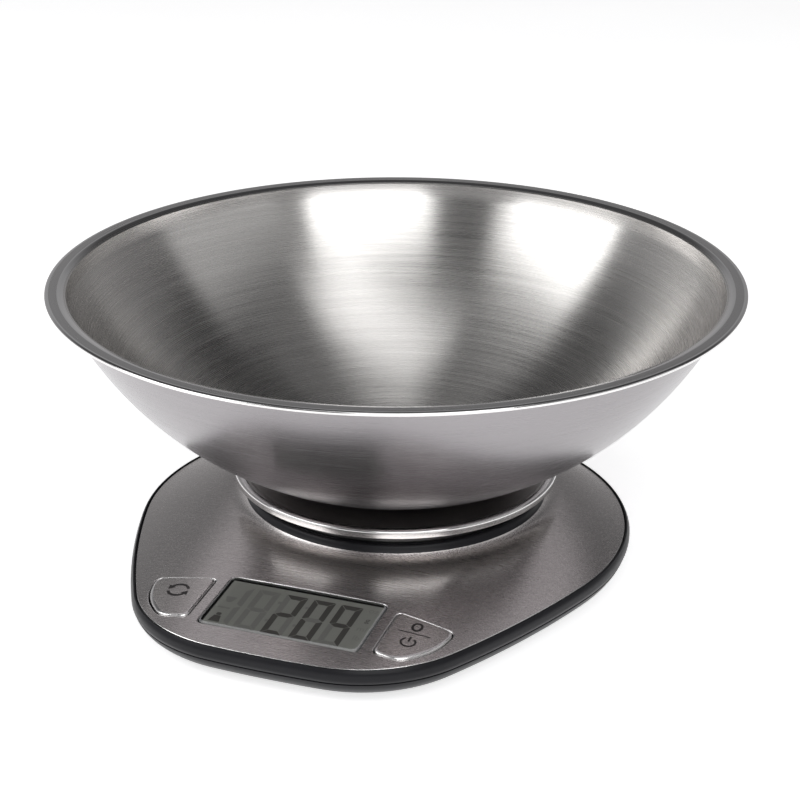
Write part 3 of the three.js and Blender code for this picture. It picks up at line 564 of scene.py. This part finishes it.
def on_slope(points):
    """Points of the display's own frame, in the row frame."""
    p = np.atleast_2d(np.array(points, float))
    if p.shape[1] == 2:
        p = np.column_stack([p, np.zeros(len(p))])
    c, s = math.cos(SLOPE), math.sin(SLOPE)
    return np.column_stack([p[:, 0], DISPLAY_Y + p[:, 1] * c - p[:, 2] * s,
                            DISPLAY_Z + p[:, 1] * s + p[:, 2] * c])


def window(grow=0.0, cut=WINDOW_CUT, steps=7):
    w, h = WINDOW_W / 2 + grow, WINDOW_H / 2 + grow
    return rectangle(-w, w, -h, h, cut, steps)


def key_shape(side, grow=0.0, steps=8):
    near = WINDOW_W / 2 + 4.4 - grow
    corners = [(near, 11.2 + grow), (52.4 + grow, 7.8 + grow), (50.2 + grow, -4 - grow),
               (41.1 + grow, -13.4 - grow), (near, -12 - grow)]
    loop = rounded([(side * x, y) for x, y in corners], [2.2, 3.5, 7, 4, 2.5], steps)
    return loop if side < 0 else loop[::-1]


def spaced(loop, gap):
    """The loop with long edges divided, so that it follows a curved surface."""
    out = []
    for a, b in zip(loop, np.roll(loop, -1, 0)):
        n = max(1, int(np.linalg.norm(b - a) / gap))
        out.extend(a + (b - a) * k / n for k in range(n))
    return np.array(out)


def drop(loop, lower=0.0, surface=panel_z, lift=0.0):
    """A flat loop laid on the panel, lowered by a depth."""
    return np.column_stack([loop, surface(loop[:, 0], loop[:, 1]) + lift - lower])


def surface_normals(verts, raised):
    """Normals of the panel's surface under the vertices."""
    x, y = verts[:, 0], verts[:, 1]
    h = 0.25
    gx = (raised(x + h, y) - raised(x - h, y)) / (2 * h)
    gy = (raised(x, y + h) - raised(x, y - h)) / (2 * h)
    n = np.column_stack([-gx, -gy, np.ones(len(x))])
    return n / np.linalg.norm(n, axis=1)[:, None]


SWEEP = bend((FOOT_R, FOOT_Z), (PEDESTAL_R + 1.6, FOOT_Z),
             (PEDESTAL_R + 0.5, PEDESTAL_Z - 0.9), 16)
CHAMFER = 0.28


def panel():
    edge = outline(-CHAMFER)
    flat = lambda loop: on_slope(spaced(loop, 2.0))[:, :2]
    holes = [flat(window(CHAMFER)), flat(key_shape(-1, SLIP + CHAMFER)),
             flat(key_shape(1, SLIP + CHAMFER))]
    turn = np.linspace(0, 2 * np.pi, 240, endpoint=False)
    foot = FOOT_R * np.column_stack([np.cos(turn), np.sin(turn)])
    rows = []
    for k, t in enumerate(np.linspace(0.03, 0.97, 22)):
        shift = (k % 2) * math.pi / 240
        r = FOOT_R + (np.interp(turn + shift, DENSE_TURN, DENSE_R, period=2 * np.pi)
                      - FOOT_R) * t
        rows.append(np.column_stack([r * np.cos(turn + shift), r * np.sin(turn + shift)]))
    extra = np.concatenate(rows)
    marks = np.concatenate([edge, *holes])
    near = np.array([np.min(np.hypot(*(marks - p).T)) < 0.8 for p in extra])
    outside = ~inside(extra, edge)
    for hole in holes:
        outside |= inside(extra, hole)
    shape = Shape()
    shape.sheet(edge, [foot, *holes], panel_z, 0, extra[~near & ~outside])
    verts = np.array(shape.verts)
    piece("panel_face", shape, [panel_look], "base", ["top_panel"],
          weld=False, recalc=False, normals=surface_normals(verts, panel_z).tolist())
    shape = Shape()
    shoulder = rounded([SWEEP[-1], (PEDESTAL_R, PEDESTAL_Z), (BOSS_R + GAP, PEDESTAL_Z),
                        (BOSS_R + GAP, PEDESTAL_Z - 3)], [0, 0.7, 0.12, 0], 6, closed=False)
    # The top bands of the steel sweep and the shoulder take the black plastic as painted shade
    # under the ring; the steel pedestal carries on beneath it.
    painted_shade_bands = len(SWEEP) - 5
    shape.turned([*SWEEP, *shoulder[1:]],
                 [0] * painted_shade_bands + [1] * (len(SWEEP) + len(shoulder) - 2 - painted_shade_bands), segments=240)
    piece("panel_pedestal", shape, [panel_look, black], "base", sharp=60)
    shape = Shape()
    low = outline(0)
    rim = [drop(outline(-CHAMFER)), drop(outline(-CHAMFER * 0.35), CHAMFER * 0.3),
           np.column_stack([low, np.full(len(low), EDGE_Z - CHAMFER)]),
           np.column_stack([low, np.full(len(low), EDGE_Z - PANEL_T)])]
    shape.loft(rim[::-1], 0)
    for make, grow in ((window, 0), (lambda g: key_shape(-1, g), SLIP),
                       (lambda g: key_shape(1, g), SLIP)):
        top, middle, wall = (evened(on_slope(make(grow + CHAMFER * k))[:, :2])
                             for k in (1, 0.35, 0))
        shape.loft([drop(top), drop(middle, CHAMFER * 0.3), drop(wall, CHAMFER),
                    drop(wall, PANEL_T + 0.4)][::-1], 0)
    piece("panel_cut_edges", shape, [edge_look], "base", recalc=False,
          weld=False, sharp=60)


def evened(loop, count=160):
    """The loop with evenly spread points, matched between loops of the same form."""
    closed = np.vstack([loop, loop[:1]])
    length = np.r_[0, np.cumsum(np.hypot(*np.diff(closed, axis=0).T))]
    at = np.linspace(0, length[-1], count, endpoint=False)
    return np.column_stack([np.interp(at, length, closed[:, k]) for k in (0, 1)])


# ======== keys, display
def key(side, name):
    body = name + "_key"
    raised = lambda x, y: panel_z(x, y) + KEY_PROUD
    loop = lambda grow: evened(on_slope(key_shape(side, grow))[:, :2], 160)
    top, shoulder, edge = loop(-0.75), loop(-0.3), loop(0)
    middle = top.mean(0)
    shape = Shape()
    rows = [middle + (top - middle) * s for s in (1e-3, 0.15, 0.3, 0.45, 0.6, 0.75, 0.9, 1)]
    shape.loft([drop(r, surface=raised) for r in rows], 0)
    verts = np.array(shape.verts)
    shape.faces = [f[::-1] for f in shape.faces]
    normals = surface_normals(verts, raised)
    piece(name + "_key_top", shape, [key_look], body, [name + "_key_face"],
          weld=False, recalc=False, normals=normals.tolist())
    shape = Shape()
    shape.loft([drop(top, surface=raised), drop(shoulder, 0.1, raised),
                drop(edge, 0.42, raised), drop(edge, 1.2, raised)], 0)
    piece(name + "_key_edge", shape, [edge_look], body, recalc=False,
          weld=False, sharp=60)


def stroke(shape, points, width, surface, lift=0.03, closed=False):
    """A printed line of a given width on a surface, from points in the display's frame."""
    p = np.array(points, float)
    if not closed and len(p) == 2:
        p = p[0] + (p[1] - p[0]) * np.linspace(0, 1, 16)[:, None]
    step = np.roll(p, -1, 0) - np.roll(p, 1, 0) if closed else np.gradient(p, axis=0)
    side = np.column_stack([-step[:, 1], step[:, 0]])
    side /= np.linalg.norm(side, axis=1)[:, None]
    left, right = p + side * width / 2, p - side * width / 2
    flat = on_slope(np.concatenate([left, right]))[:, :2]
    n = len(p)
    faces = [(i, i + n, (i + 1) % n + n, (i + 1) % n) for i in range(n if closed else n - 1)]
    shape.add(drop(flat, -lift, surface), faces)


def arc(x, y, r, start, stop, count=24):
    turn = np.radians(np.linspace(start, stop, count))
    return np.column_stack([x + r * np.cos(turn), y + r * np.sin(turn)])


def key_marks():
    raised = lambda x, y: panel_z(x, y) + KEY_PROUD
    shape = Shape()
    for start in (20, 200):
        stroke(shape, arc(-41.5, 1.5, 3.3, start, start + 128), 1.0, raised)
        end = math.radians(start + 138)
        tip = np.array([-41.5 + 3.3 * math.cos(end), 1.5 + 3.3 * math.sin(end)])
        way = np.array([-math.sin(end), math.cos(end)])
        out = np.array([math.cos(end), math.sin(end)])
        head = [tip - out * 1.4 - way * 0.7, tip + out * 1.4 - way * 0.7, tip + way * 1.5]
        flat = on_slope(np.array(head))[:, :2]
        shape.add(drop(flat, -0.03, raised), [(0, 1, 2)])
    piece("mode_key_mark", shape, [ink], "mode_key", weld=False)
    shape = Shape()
    zero = [(40.6 + 1.5 * math.cos(a), 5.2 + 2.0 * math.sin(a))
            for a in np.linspace(0, 2 * math.pi, 32, endpoint=False)]
    stroke(shape, zero, 0.8, raised, closed=True)
    stroke(shape, [(35.4, 1.6), (46.2, 1.6)], 0.42, raised)
    stroke(shape, arc(40.6, -3.4, 2.3, 125, 415, 40), 0.7, raised)
    stroke(shape, [(40.6, -3.2), (40.6, -0.5)], 0.7, raised)
    piece("zero_key_mark", shape, [ink], "zero_key", weld=False)


def slab(shape, loop, z0, z1, zone=0):
    """A thin plate in the display's frame."""
    loop = np.array(loop)
    low = on_slope(np.column_stack([loop, np.full(len(loop), z0)]))
    high = on_slope(np.column_stack([loop, np.full(len(loop), z1)]))
    shape.loft([low, high], zone, caps=(True, True))


LCD_Z = -1.15


def digit_parts(x, y0, w, h, t):
    """The seven segments of a digit whose lower left corner is x, y0."""
    m, g, c = y0 + h / 2, 0.14, 0.5
    t2 = t * 1.08
    top = [(x + g, y0 + h), (x + w - g, y0 + h), (x + w - g - t, y0 + h - t2),
           (x + g + t, y0 + h - t2)]
    low = [(x + g, y0), (x + g + t, y0 + t2), (x + w - g - t, y0 + t2), (x + w - g, y0)]
    mid = [(x + g + c, m), (x + g + t, m + t2 / 2), (x + w - g - t, m + t2 / 2),
           (x + w - g - c, m), (x + w - g - t, m - t2 / 2), (x + g + t, m - t2 / 2)]

    def column(side, a, b, closed_end):
        s = 1 if side < 0 else -1
        e = x if side < 0 else x + w
        d = 1 if closed_end > 0 else -1
        a, b = (a, b) if closed_end > 0 else (b, a)
        return [(e, a + d * (c - 0.05)), (e, b - d * g), (e + s * t, b - d * (g + t2)),
                (e + s * t, a + d * (t2 / 2 + 0.08)), (e + s * (c - 0.05), a + d * 0.12)]
    return {"a": top, "d": low, "g": mid,
            "f": column(-1, m, y0 + h, 1), "b": column(1, m, y0 + h, 1),
            "e": column(-1, y0, m, -1), "c": column(1, y0, m, -1)}


LIT = {"2": "abged", "0": "abcdef", "9": "abfgc", " ": ""}


def display():
    width, height = WINDOW_W - 0.6, WINDOW_H - 0.6
    loop = lambda less, cut: evened(rectangle(-width / 2 + less, width / 2 - less,
                                              -height / 2 + less, height / 2 - less, cut, 8))
    row = lambda l, z: on_slope(np.column_stack([l, np.full(len(l), z)]))
    shape = Shape()
    edge = [row(loop(0, 2.3), -1.0), row(loop(0, 2.3), -0.42), row(loop(0.2, 2.2), -0.1),
            row(loop(0.5, 2.0), 0.1)]
    shape.loft(edge, 1)
    shape.loft([edge[-1], *[row(loop(0.5, 2.0) * s, 0.1) for s in (0.6, 1e-3)]], 0)
    piece("display_window", shape, [lens_clear, lens_bevel], "base",
          ["display_lens"], recalc=False, sharp=20)
    w, h = WINDOW_W / 2 - 0.8, WINDOW_H / 2 - 0.8
    shape = Shape()
    slab(shape, rectangle(-w, w, -h, h, 0.6), -5.2, LCD_Z - 0.03, 1)
    slab(shape, rectangle(-w + 0.35, w - 0.35, -h + 0.35, h - 0.35, 0.4), LCD_Z - 0.05,
         LCD_Z, 0)
    piece("lcd_panel", shape, [lcd_look, lcd_border], "base", ["lcd_glass"],
          weld=False, sharp=30)
    dark, ghost = Shape(), Shape()
    put = lambda s, l: slab(s, l, LCD_Z + 0.005, LCD_Z + 0.03)
    y0, tall, wide, thick = -12.1, 22.8, 7.5, 2.05
    for right, value in ((1.0, "2"), (10.7, "0"), (20.2, "9"), (-8.6, " ")):
        parts = digit_parts(right - wide, y0, wide, tall, thick)
        for letter, corners in parts.items():
            put(dark if letter in LIT[value] else ghost, corners)
    for letter in "bc":
        put(ghost, digit_parts(-18 - wide, y0, wide, tall, thick)[letter])
    for x in (-7.0, 2.6, 12.2):
        for y in ((5.4, -5.2) if x < 5 else (-11.2,)):
            put(ghost, rectangle(x - 0.55, x + 0.55, y - 0.6, y + 0.6, 0.1, 2))
    put(dark, [(-25.1, -10.9), (-21.2, -10.9), (-22.0, -7.4), (-24.3, -7.4)])
    put(dark, rectangle(-24.0, -22.3, -7.2, -5.7, 0.6, 5))
    put(ghost, rectangle(-25.3, -21.0, -3.0, -2.2, 0.2, 3))
    put(ghost, rounded([(-25.2, 3.9), (-21.1, 3.9), (-22.3, 0.8), (-24.0, 0.8)], 0.5, 4))
    piece("lcd_segments", dark, [lcd_dark], "base", weld=False, sharp=30)
    piece("lcd_ghosts", ghost, [lcd_ghost], "base", weld=False, sharp=30)
    units(24.0, {"oz": (9.0, lcd_ghost), "g": (3.6, lcd_dark), "ml": (-1.6, lcd_ghost),
                 "lb": (-6.8, lcd_ghost)})


def units(x, rows):
    """Small generic unit marks beside the digits."""
    for word, (y, look) in rows.items():
        curve = bpy.data.curves.new("unit_" + word, "FONT")
        curve.body, curve.size, curve.extrude = word, 3.6 * MM, 0.01 * MM
        curve.align_x, curve.resolution_u = "CENTER", 3
        text = bpy.data.objects.new("unit_text", curve)
        bpy.context.scene.collection.objects.link(text)
        bpy.context.view_layer.update()
        mesh = bpy.data.meshes.new_from_object(text)
        bpy.data.objects.remove(text)
        co = np.zeros(len(mesh.vertices) * 3)
        mesh.vertices.foreach_get("co", co)
        flat = co.reshape(-1, 3) / MM + [x, y, LCD_Z + 0.02]
        mesh.vertices.foreach_set("co", (on_slope(flat) * MM).ravel())
        mesh.materials.clear()
        mesh.materials.append(look)
        obj = bpy.data.objects.new("lcd_unit_" + word, mesh)
        bpy.context.scene.collection.objects.link(obj)
        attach(obj, "base")


# ======== shells
def band(shape, stations, zone=0, fine=(10, 26, 22, 44)):
    shape.loft([np.column_stack([outline(out, fine), np.full(2 * sum(fine), z)])
                for out, z in stations], zone)


def upper_shell():
    top = SEAM_Z + GAP
    side = rounded([(-2.5, top), (SHELL_OUT - 0.6, top), (SHELL_OUT, top + 1.2),
                    (SHELL_OUT, EDGE_Z - 1.3), (SHELL_OUT - 0.9, EDGE_Z + 0.28),
                    (0.35, EDGE_Z + 0.2),
                    (0.3, EDGE_Z - 1.1), (-2.5, EDGE_Z - 1.1)],
                   [0, 0.2, 0.6, 0.8, 0.22, 0.1, 0, 0], 6, closed=False)
    shape = Shape()
    band(shape, side)
    for make, deep in ((window(0.0), 3.2), (key_shape(-1, SLIP), 2.8), (key_shape(1, SLIP), 2.8)):
        wall = evened(on_slope(make)[:, :2])
        shape.loft([drop(wall, depth) + [0, depth * math.sin(SLOPE), 0]
                    for depth in (PANEL_T + GAP, deep)], 0)
    piece("housing_upper", shape, [black], "base", ["upper_housing"],
          weld=False, recalc=False, sharp=50)
    shape = Shape()
    boss = rounded([(BOSS_R, FOOT_Z - 1), (BOSS_R, BOSS_Z), (24, BOSS_Z), (24, BOSS_Z - 2)],
                   [0, 0.5, 0.3, 0], 6, closed=False)
    shape.turned(boss, 0, segments=192)
    piece("housing_boss", shape, [gloss], "base", recalc=False)


DOOR_X, DOOR_Y0, DOOR_Y1 = 25.55, 14.05, 42.35
BAY_Y0, BAY_Y1, BAY_TOP = 16.25, 40.15, 14.7


def pocket(shape, loop, z0, z1, floor=True, zone=0):
    """A recess in the underside: its wall and its roof."""
    loop = np.array(loop)
    shape.loft([np.column_stack([loop, np.full(len(loop), z0)]),
                np.column_stack([loop, np.full(len(loop), z1)])][::-1], zone)
    if floor:
        shape.sheet(loop, [], z1, zone, up=False)


def lower_shell():
    side = rounded([(SHELL_OUT - 11, BOTTOM_Z), (SHELL_OUT - 7.2, BOTTOM_Z + 0.7),
                    (SHELL_OUT - 3.4, BOTTOM_Z + 2.9), (SHELL_OUT - 1.3, BOTTOM_Z + 5.3),
                    (SHELL_OUT - 0.6, SEAM_Z), (-2.5, SEAM_Z)],
                   [0, 1.8, 1.8, 1.4, 0.2, 0], 6, closed=False)
    shape = Shape()
    band(shape, side)
    bores = [circle(x, y, 3.2, 32) for x, y in SCREW_SPOTS + CELL_SCREW_SPOTS]
    pads = [circle(x, y, 6.8, 48) for x, y in FOOT_SPOTS]
    recess = rectangle(-DOOR_X - SLIP, DOOR_X + SLIP, DOOR_Y0 - SLIP, DOOR_Y1 + SLIP, 0.8)
    bay = rectangle(-DOOR_X, DOOR_X, BAY_Y0, BAY_Y1, 0.3)
    soften = 0.25
    edge = outline(SHELL_OUT - 11)
    opened = [circle(x, y, 3.2 + soften, 32) for x, y in SCREW_SPOTS + CELL_SCREW_SPOTS]
    opened += [circle(x, y, 6.8 + soften, 48) for x, y in FOOT_SPOTS]
    opened.append(rectangle(-DOOR_X - SLIP - soften, DOOR_X + SLIP + soften,
                            DOOR_Y0 - SLIP - soften, DOOR_Y1 + SLIP + soften, 1.0))
    shape.sheet(edge, opened, BOTTOM_Z, up=False)
    for wide, tight in zip(opened, bores + pads + [recess]):
        shape.loft([np.column_stack([tight, np.full(len(tight), BOTTOM_Z + soften)]),
                    np.column_stack([wide, np.full(len(wide), BOTTOM_Z)])], 0)
    for loop in bores:
        pocket(shape, loop, BOTTOM_Z + soften, BOTTOM_Z + 2.3)
    for loop in pads:
        pocket(shape, loop, BOTTOM_Z + soften, BOTTOM_Z + 1.3)
    pocket(shape, recess, BOTTOM_Z + soften, BOTTOM_Z + 1.2, floor=False)
    shape.sheet(recess, [bay], BOTTOM_Z + 1.2, up=False)
    pocket(shape, bay, BOTTOM_Z + 1.2, BAY_TOP)
    piece("housing_lower", shape, [black], "base", ["lower_housing"],
          weld=False, recalc=False, sharp=50)


def battery_door():
    z, c = BOTTOM_Z, 0.3
    shape = Shape()
    rows = lambda l, h: np.column_stack([l, np.full(len(l), h)])
    outer = rectangle(-DOOR_X, DOOR_X, DOOR_Y0, DOOR_Y1, 0.7)
    face = rectangle(-DOOR_X + c, DOOR_X - c, DOOR_Y0 + c, DOOR_Y1 - c, 0.6)
    grips = [rectangle(-7, 7, y, y + 0.9, 0.35) for y in (17.3, 19.0, 20.7, 22.4)]
    arrow = np.array([(-2.6, 27.2), (0, 24.6), (2.6, 27.2), (1.9, 27.9), (0, 26.0), (-1.9, 27.9)])
    recess = grips + [arrow]
    shape.sheet(face, recess, z, up=False)
    for loop in recess:
        pocket(shape, loop, z, z + 0.35)
    shape.loft([rows(outer, z + 0.9), rows(outer, z + c), rows(face, z)], 0)
    raised = rectangle(-DOOR_X + SLIP, DOOR_X - SLIP, BAY_Y0 + SLIP, BAY_Y1 - SLIP, 0.8)
    shape.sheet(outer, [raised], z + 0.9, up=True)
    shape.loft([rows(raised, z + 0.9), rows(raised, z + 1.6)], 0)
    pads = [rectangle(-18, 18, y - 2.2, y + 2.2, 1.2) for y in AAA_SPOTS]
    shape.sheet(raised, pads, z + 1.6, up=True)
    for loop in pads:
        shape.loft([rows(loop, z + 1.6), rows(loop, z + 1.35)][::-1], 0)
        shape.sheet(loop, [], z + 1.35, up=True)
    piece("battery_door_plate", shape, [black], "battery_door",
          ["battery_door"], weld=False, recalc=False, sharp=30)


# ======== small hardware
def cross(r, w):
    """A cross-shaped loop of arm length r and half width w."""
    quarter = [(r, -w), (r, w), (w, w)]
    loop = []
    for k in range(4):
        c, s = [(1, 0), (0, 1), (-1, 0), (0, -1)][k]
        loop += [(c * x - s * y, s * x + c * y) for x, y in quarter]
    return np.array(loop)


def screw_shape(length):
    """A pan-head screw that points up from its head at z 0."""
    shape = Shape()
    row = lambda l, z: np.column_stack([l, np.full(len(l), z)])
    shape.sheet(circle(0, 0, 2.05, 40), [cross(1.55, 0.34)], 0.0, up=False)
    shape.loft([row(cross(0.7, 0.18), 1.05), row(cross(1.55, 0.34), 0.0)], 0)
    shape.sheet(cross(0.7, 0.18), [], 1.05, up=False)
    head = rounded([(2.05, 0), (2.8, 0.35), (2.8, 1.7), (1.5, 1.7), (1.5, 1.7 + length),
                    (0, 1.7 + length)], [0, 0.4, 0.2, 0.1, 0.4, 0], 5, closed=False)
    shape.turned(head[::-1], 0, segments=40)
    return shape


def hardware():
    low = BOTTOM_Z + GAP
    for i, (x, y) in enumerate(SCREW_SPOTS):
        piece(f"case_screw_{i + 1}", screw_shape(7), [zinc], "base",
              [f"housing_screw_{i + 1}"], at=(x, y, low), weld=False, recalc=False)
    for i, (x, y) in enumerate(CELL_SCREW_SPOTS):
        piece(f"beam_screw_{i + 1}", screw_shape(9), [zinc], "base",
              [f"cell_screw_{i + 1}"], at=(x, y, low), weld=False, recalc=False)
    tread = [(0.0, 0.05), (0.9, 0.05)]
    for r in (1.6, 3.0, 4.4):
        tread += [(r - 0.3, 0.05), (r - 0.15, 0.28), (r + 0.15, 0.28), (r + 0.3, 0.05)]
    side = rounded([(5.2, 0), (6.5, 0), (6.5, 3), (0, 3)], [0, 0.7, 0.2, 0], 6, closed=False)
    shape = Shape()
    shape.turned([*tread, *side], 0, segments=64)
    for i, (x, y) in enumerate(FOOT_SPOTS):
        piece(f"rubber_foot_{i + 1}", shape, [rubber], "base",
              [f"foot_{i + 1}"], at=(x, y, 0))


def batteries():
    half, r = AAA_HALF, AAA_R
    for i, y in enumerate(AAA_SPOTS):
        way = 1 if i == 0 else -1
        barrel = rounded([(0, -half), (r - 0.7, -half), (r - 0.1, -half + 0.4),
                          (r - 0.1, half - 1.4), (r - 0.9, half - 1)],
                         [0, 0.4, 0.4, 0.3, 0], 5, closed=False)
        tip = rounded([(r - 0.9, half - 1), (1.9, half - 1), (1.9, half), (0, half)],
                      [0, 0.2, 0.4, 0], 5, closed=False)
        shape = Shape()
        shape.turned(barrel, 0, segments=64)
        shape.turned(tip, 1, segments=64)
        shape.verts = [(z * way, a, b) for a, b, z in shape.verts]
        piece(f"aaa_cell_{i + 1}", shape, [sleeve, nickel], "base",
              [f"battery_{i + 1}"], at=(0, y, AAA_Z))


# ======== the CAD nodes that stay
KEPT = {
    "lcd_holder": holder, "lcd_connector": connector, "circuit_board": board,
    "chip_blob": chip, "board_screw_1": zinc, "board_screw_2": zinc,
    "mode_switch": switch, "zero_switch": switch, "load_cell": aluminium,
    "gauge_coat": silicone, "cell_plate_lower": zinc, "cell_plate_upper": zinc,
    "carrier_plate": zinc, "cell_screw_3": zinc, "cell_screw_4": zinc,
    "carrier_screw_1": zinc, "carrier_screw_2": zinc, "carrier_screw_3": zinc,
    "carrier_screw_4": zinc, "contact_bridge": nickel, "contact_plus": nickel,
    "contact_minus": nickel, "sensor_cable": grey_wire, "wire_plus": red_wire,
    "wire_minus": black_wire, "mode_key_body": key_black, "zero_key_body": key_black,
    "mode_plunger": cream, "zero_plunger": cream,
}


def dress():
    for name, look in KEPT.items():
        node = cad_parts[name]
        node.data.materials.clear()
        node.data.materials.append(look)


bowl()
platform()
panel()
for SIDE, NAME in ((-1, "mode"), (1, "zero")):
    key(SIDE, NAME)
key_marks()
display()
upper_shell()
lower_shell()
battery_door()
hardware()
batteries()
dress()


# ======== studio
AIM = Vector((0, 0, 0.0677))
DISTANCE = 0.7146
ELEVATION = math.radians(21.795)
AZIMUTH = math.radians(20.66)
ROLL = math.radians(0.11)
LENS, SENSOR = 91.71, 36
SHIFT_X, SHIFT_Y = 0.0049, -0.0462


def camera():
    data = bpy.data.cameras.new("camera")
    data.lens, data.sensor_width = LENS, SENSOR
    data.shift_x, data.shift_y = SHIFT_X, SHIFT_Y
    data.clip_start = 0.05
    cam = bpy.data.objects.new("camera", data)
    bpy.context.scene.collection.objects.link(cam)
    back = Vector((math.sin(AZIMUTH) * math.cos(ELEVATION),
                   -math.cos(AZIMUTH) * math.cos(ELEVATION), math.sin(ELEVATION)))
    cam.location = AIM + back * DISTANCE
    turn = back.to_track_quat("Z", "Y").to_euler()
    cam.rotation_euler = (turn.to_matrix() @ Matrix.Rotation(
        ROLL, 3, "Z")).to_euler()
    bpy.context.scene.camera = cam


def softbox(name, ahead, right, up, width, height, power, colour=(1, 1, 1), aim=(0, 0, 0.06)):
    """An area light placed relative to the camera's heading, in metres."""
    data = bpy.data.lights.new(name, "AREA")
    data.shape, data.size, data.size_y = "RECTANGLE", width, height
    data.energy, data.color = power, colour
    lamp = bpy.data.objects.new(name, data)
    bpy.context.scene.collection.objects.link(lamp)
    c = Vector((math.sin(AZIMUTH), -math.cos(AZIMUTH), 0))
    r = Vector((math.cos(AZIMUTH), math.sin(AZIMUTH), 0))
    lamp.location = c * ahead + r * right + Vector((0, 0, up))
    toward = Vector(aim) - lamp.location
    lamp.rotation_euler = toward.to_track_quat("-Z", "Y").to_euler()


def floor():
    shape = Shape()
    half, rounding, below = 6000, 400, 0.02
    shape.sheet(rectangle(-half, half, -half, half, rounding, 8), [], -below)
    look = Look("floor_pale", (0.92, 0.92, 0.925), 0.7, Specular_IOR_Level=0.2,
                Emission_Color=(1, 1, 1, 1), Emission_Strength=0.66)
    grain = look.noise(look.place(), 9, 4)
    look.tint(look.span(grain, 0, 1), (0.90, 0.90, 0.905), (0.94, 0.94, 0.945))
    look.bump(grain, 1e-4, 0.05)
    mesh = bpy.data.meshes.new("floor")
    mesh.from_pydata((np.array(shape.verts) * MM).tolist(), [], shape.faces)
    mesh.materials.append(look.mat)
    obj = bpy.data.objects.new("floor", mesh)
    bpy.context.scene.collection.objects.link(obj)


def studio():
    world = bpy.data.worlds.new("studio")
    bpy.context.scene.world = world
    world.use_nodes = True
    tree = world.node_tree
    sky = tree.nodes["Background"]
    up = tree.nodes.new("ShaderNodeSeparateXYZ")
    coordinates = tree.nodes.new("ShaderNodeTexCoord")
    tree.links.new(coordinates.outputs["Generated"], up.inputs[0])
    ramp = tree.nodes.new("ShaderNodeValToRGB")
    tree.links.new(up.outputs[2], ramp.inputs[0])
    side = tree.nodes.new("ShaderNodeVectorMath")
    side.operation = "DOT_PRODUCT"
    side.inputs[1].default_value = (-math.cos(AZIMUTH), -math.sin(AZIMUTH), 0)
    tree.links.new(coordinates.outputs["Generated"], side.inputs[0])
    level = tree.nodes.new("ShaderNodeMapRange")
    level.inputs["From Min"].default_value = -1
    level.inputs["To Min"].default_value, level.inputs["To Max"].default_value = 0.65, 1.25
    tree.links.new(side.outputs["Value"], level.inputs["Value"])
    tree.links.new(level.outputs[0], sky.inputs["Strength"])
    tree.links.new(ramp.outputs[0], sky.inputs[0])
    stops = ramp.color_ramp.elements
    stops[0].position, stops[0].color = 0.10, (0.38, 0.375, 0.38, 1)
    stops[1].position, stops[1].color = 0.95, (0.045, 0.045, 0.047, 1)
    for at, tone in ((0.36, 0.30), (0.52, 0.06)):
        stop = stops.new(at)
        stop.color = (tone, tone, tone * 1.02, 1)
    softbox("key_box", 1.1, 0.23, 0.88, 1.08, 0.8, 9)
    softbox("top_strip", 0.12, 0.13, 1.3, 0.5, 1.0, 2.2)
    softbox("left_box", 0.35, -1.15, 0.85, 1.15, 0.75, 8)
    softbox("right_box", 0.3, 1.2, 0.85, 1.3, 0.7, 1.6)
    sun = bpy.data.lights.new("ceiling", "SUN")
    sun.energy, sun.angle = 0.1, math.radians(70)
    lamp = bpy.data.objects.new("ceiling", sun)
    bpy.context.scene.collection.objects.link(lamp)
    bpy.context.scene.view_settings.view_transform = "Standard"


camera()
floor()
studio()
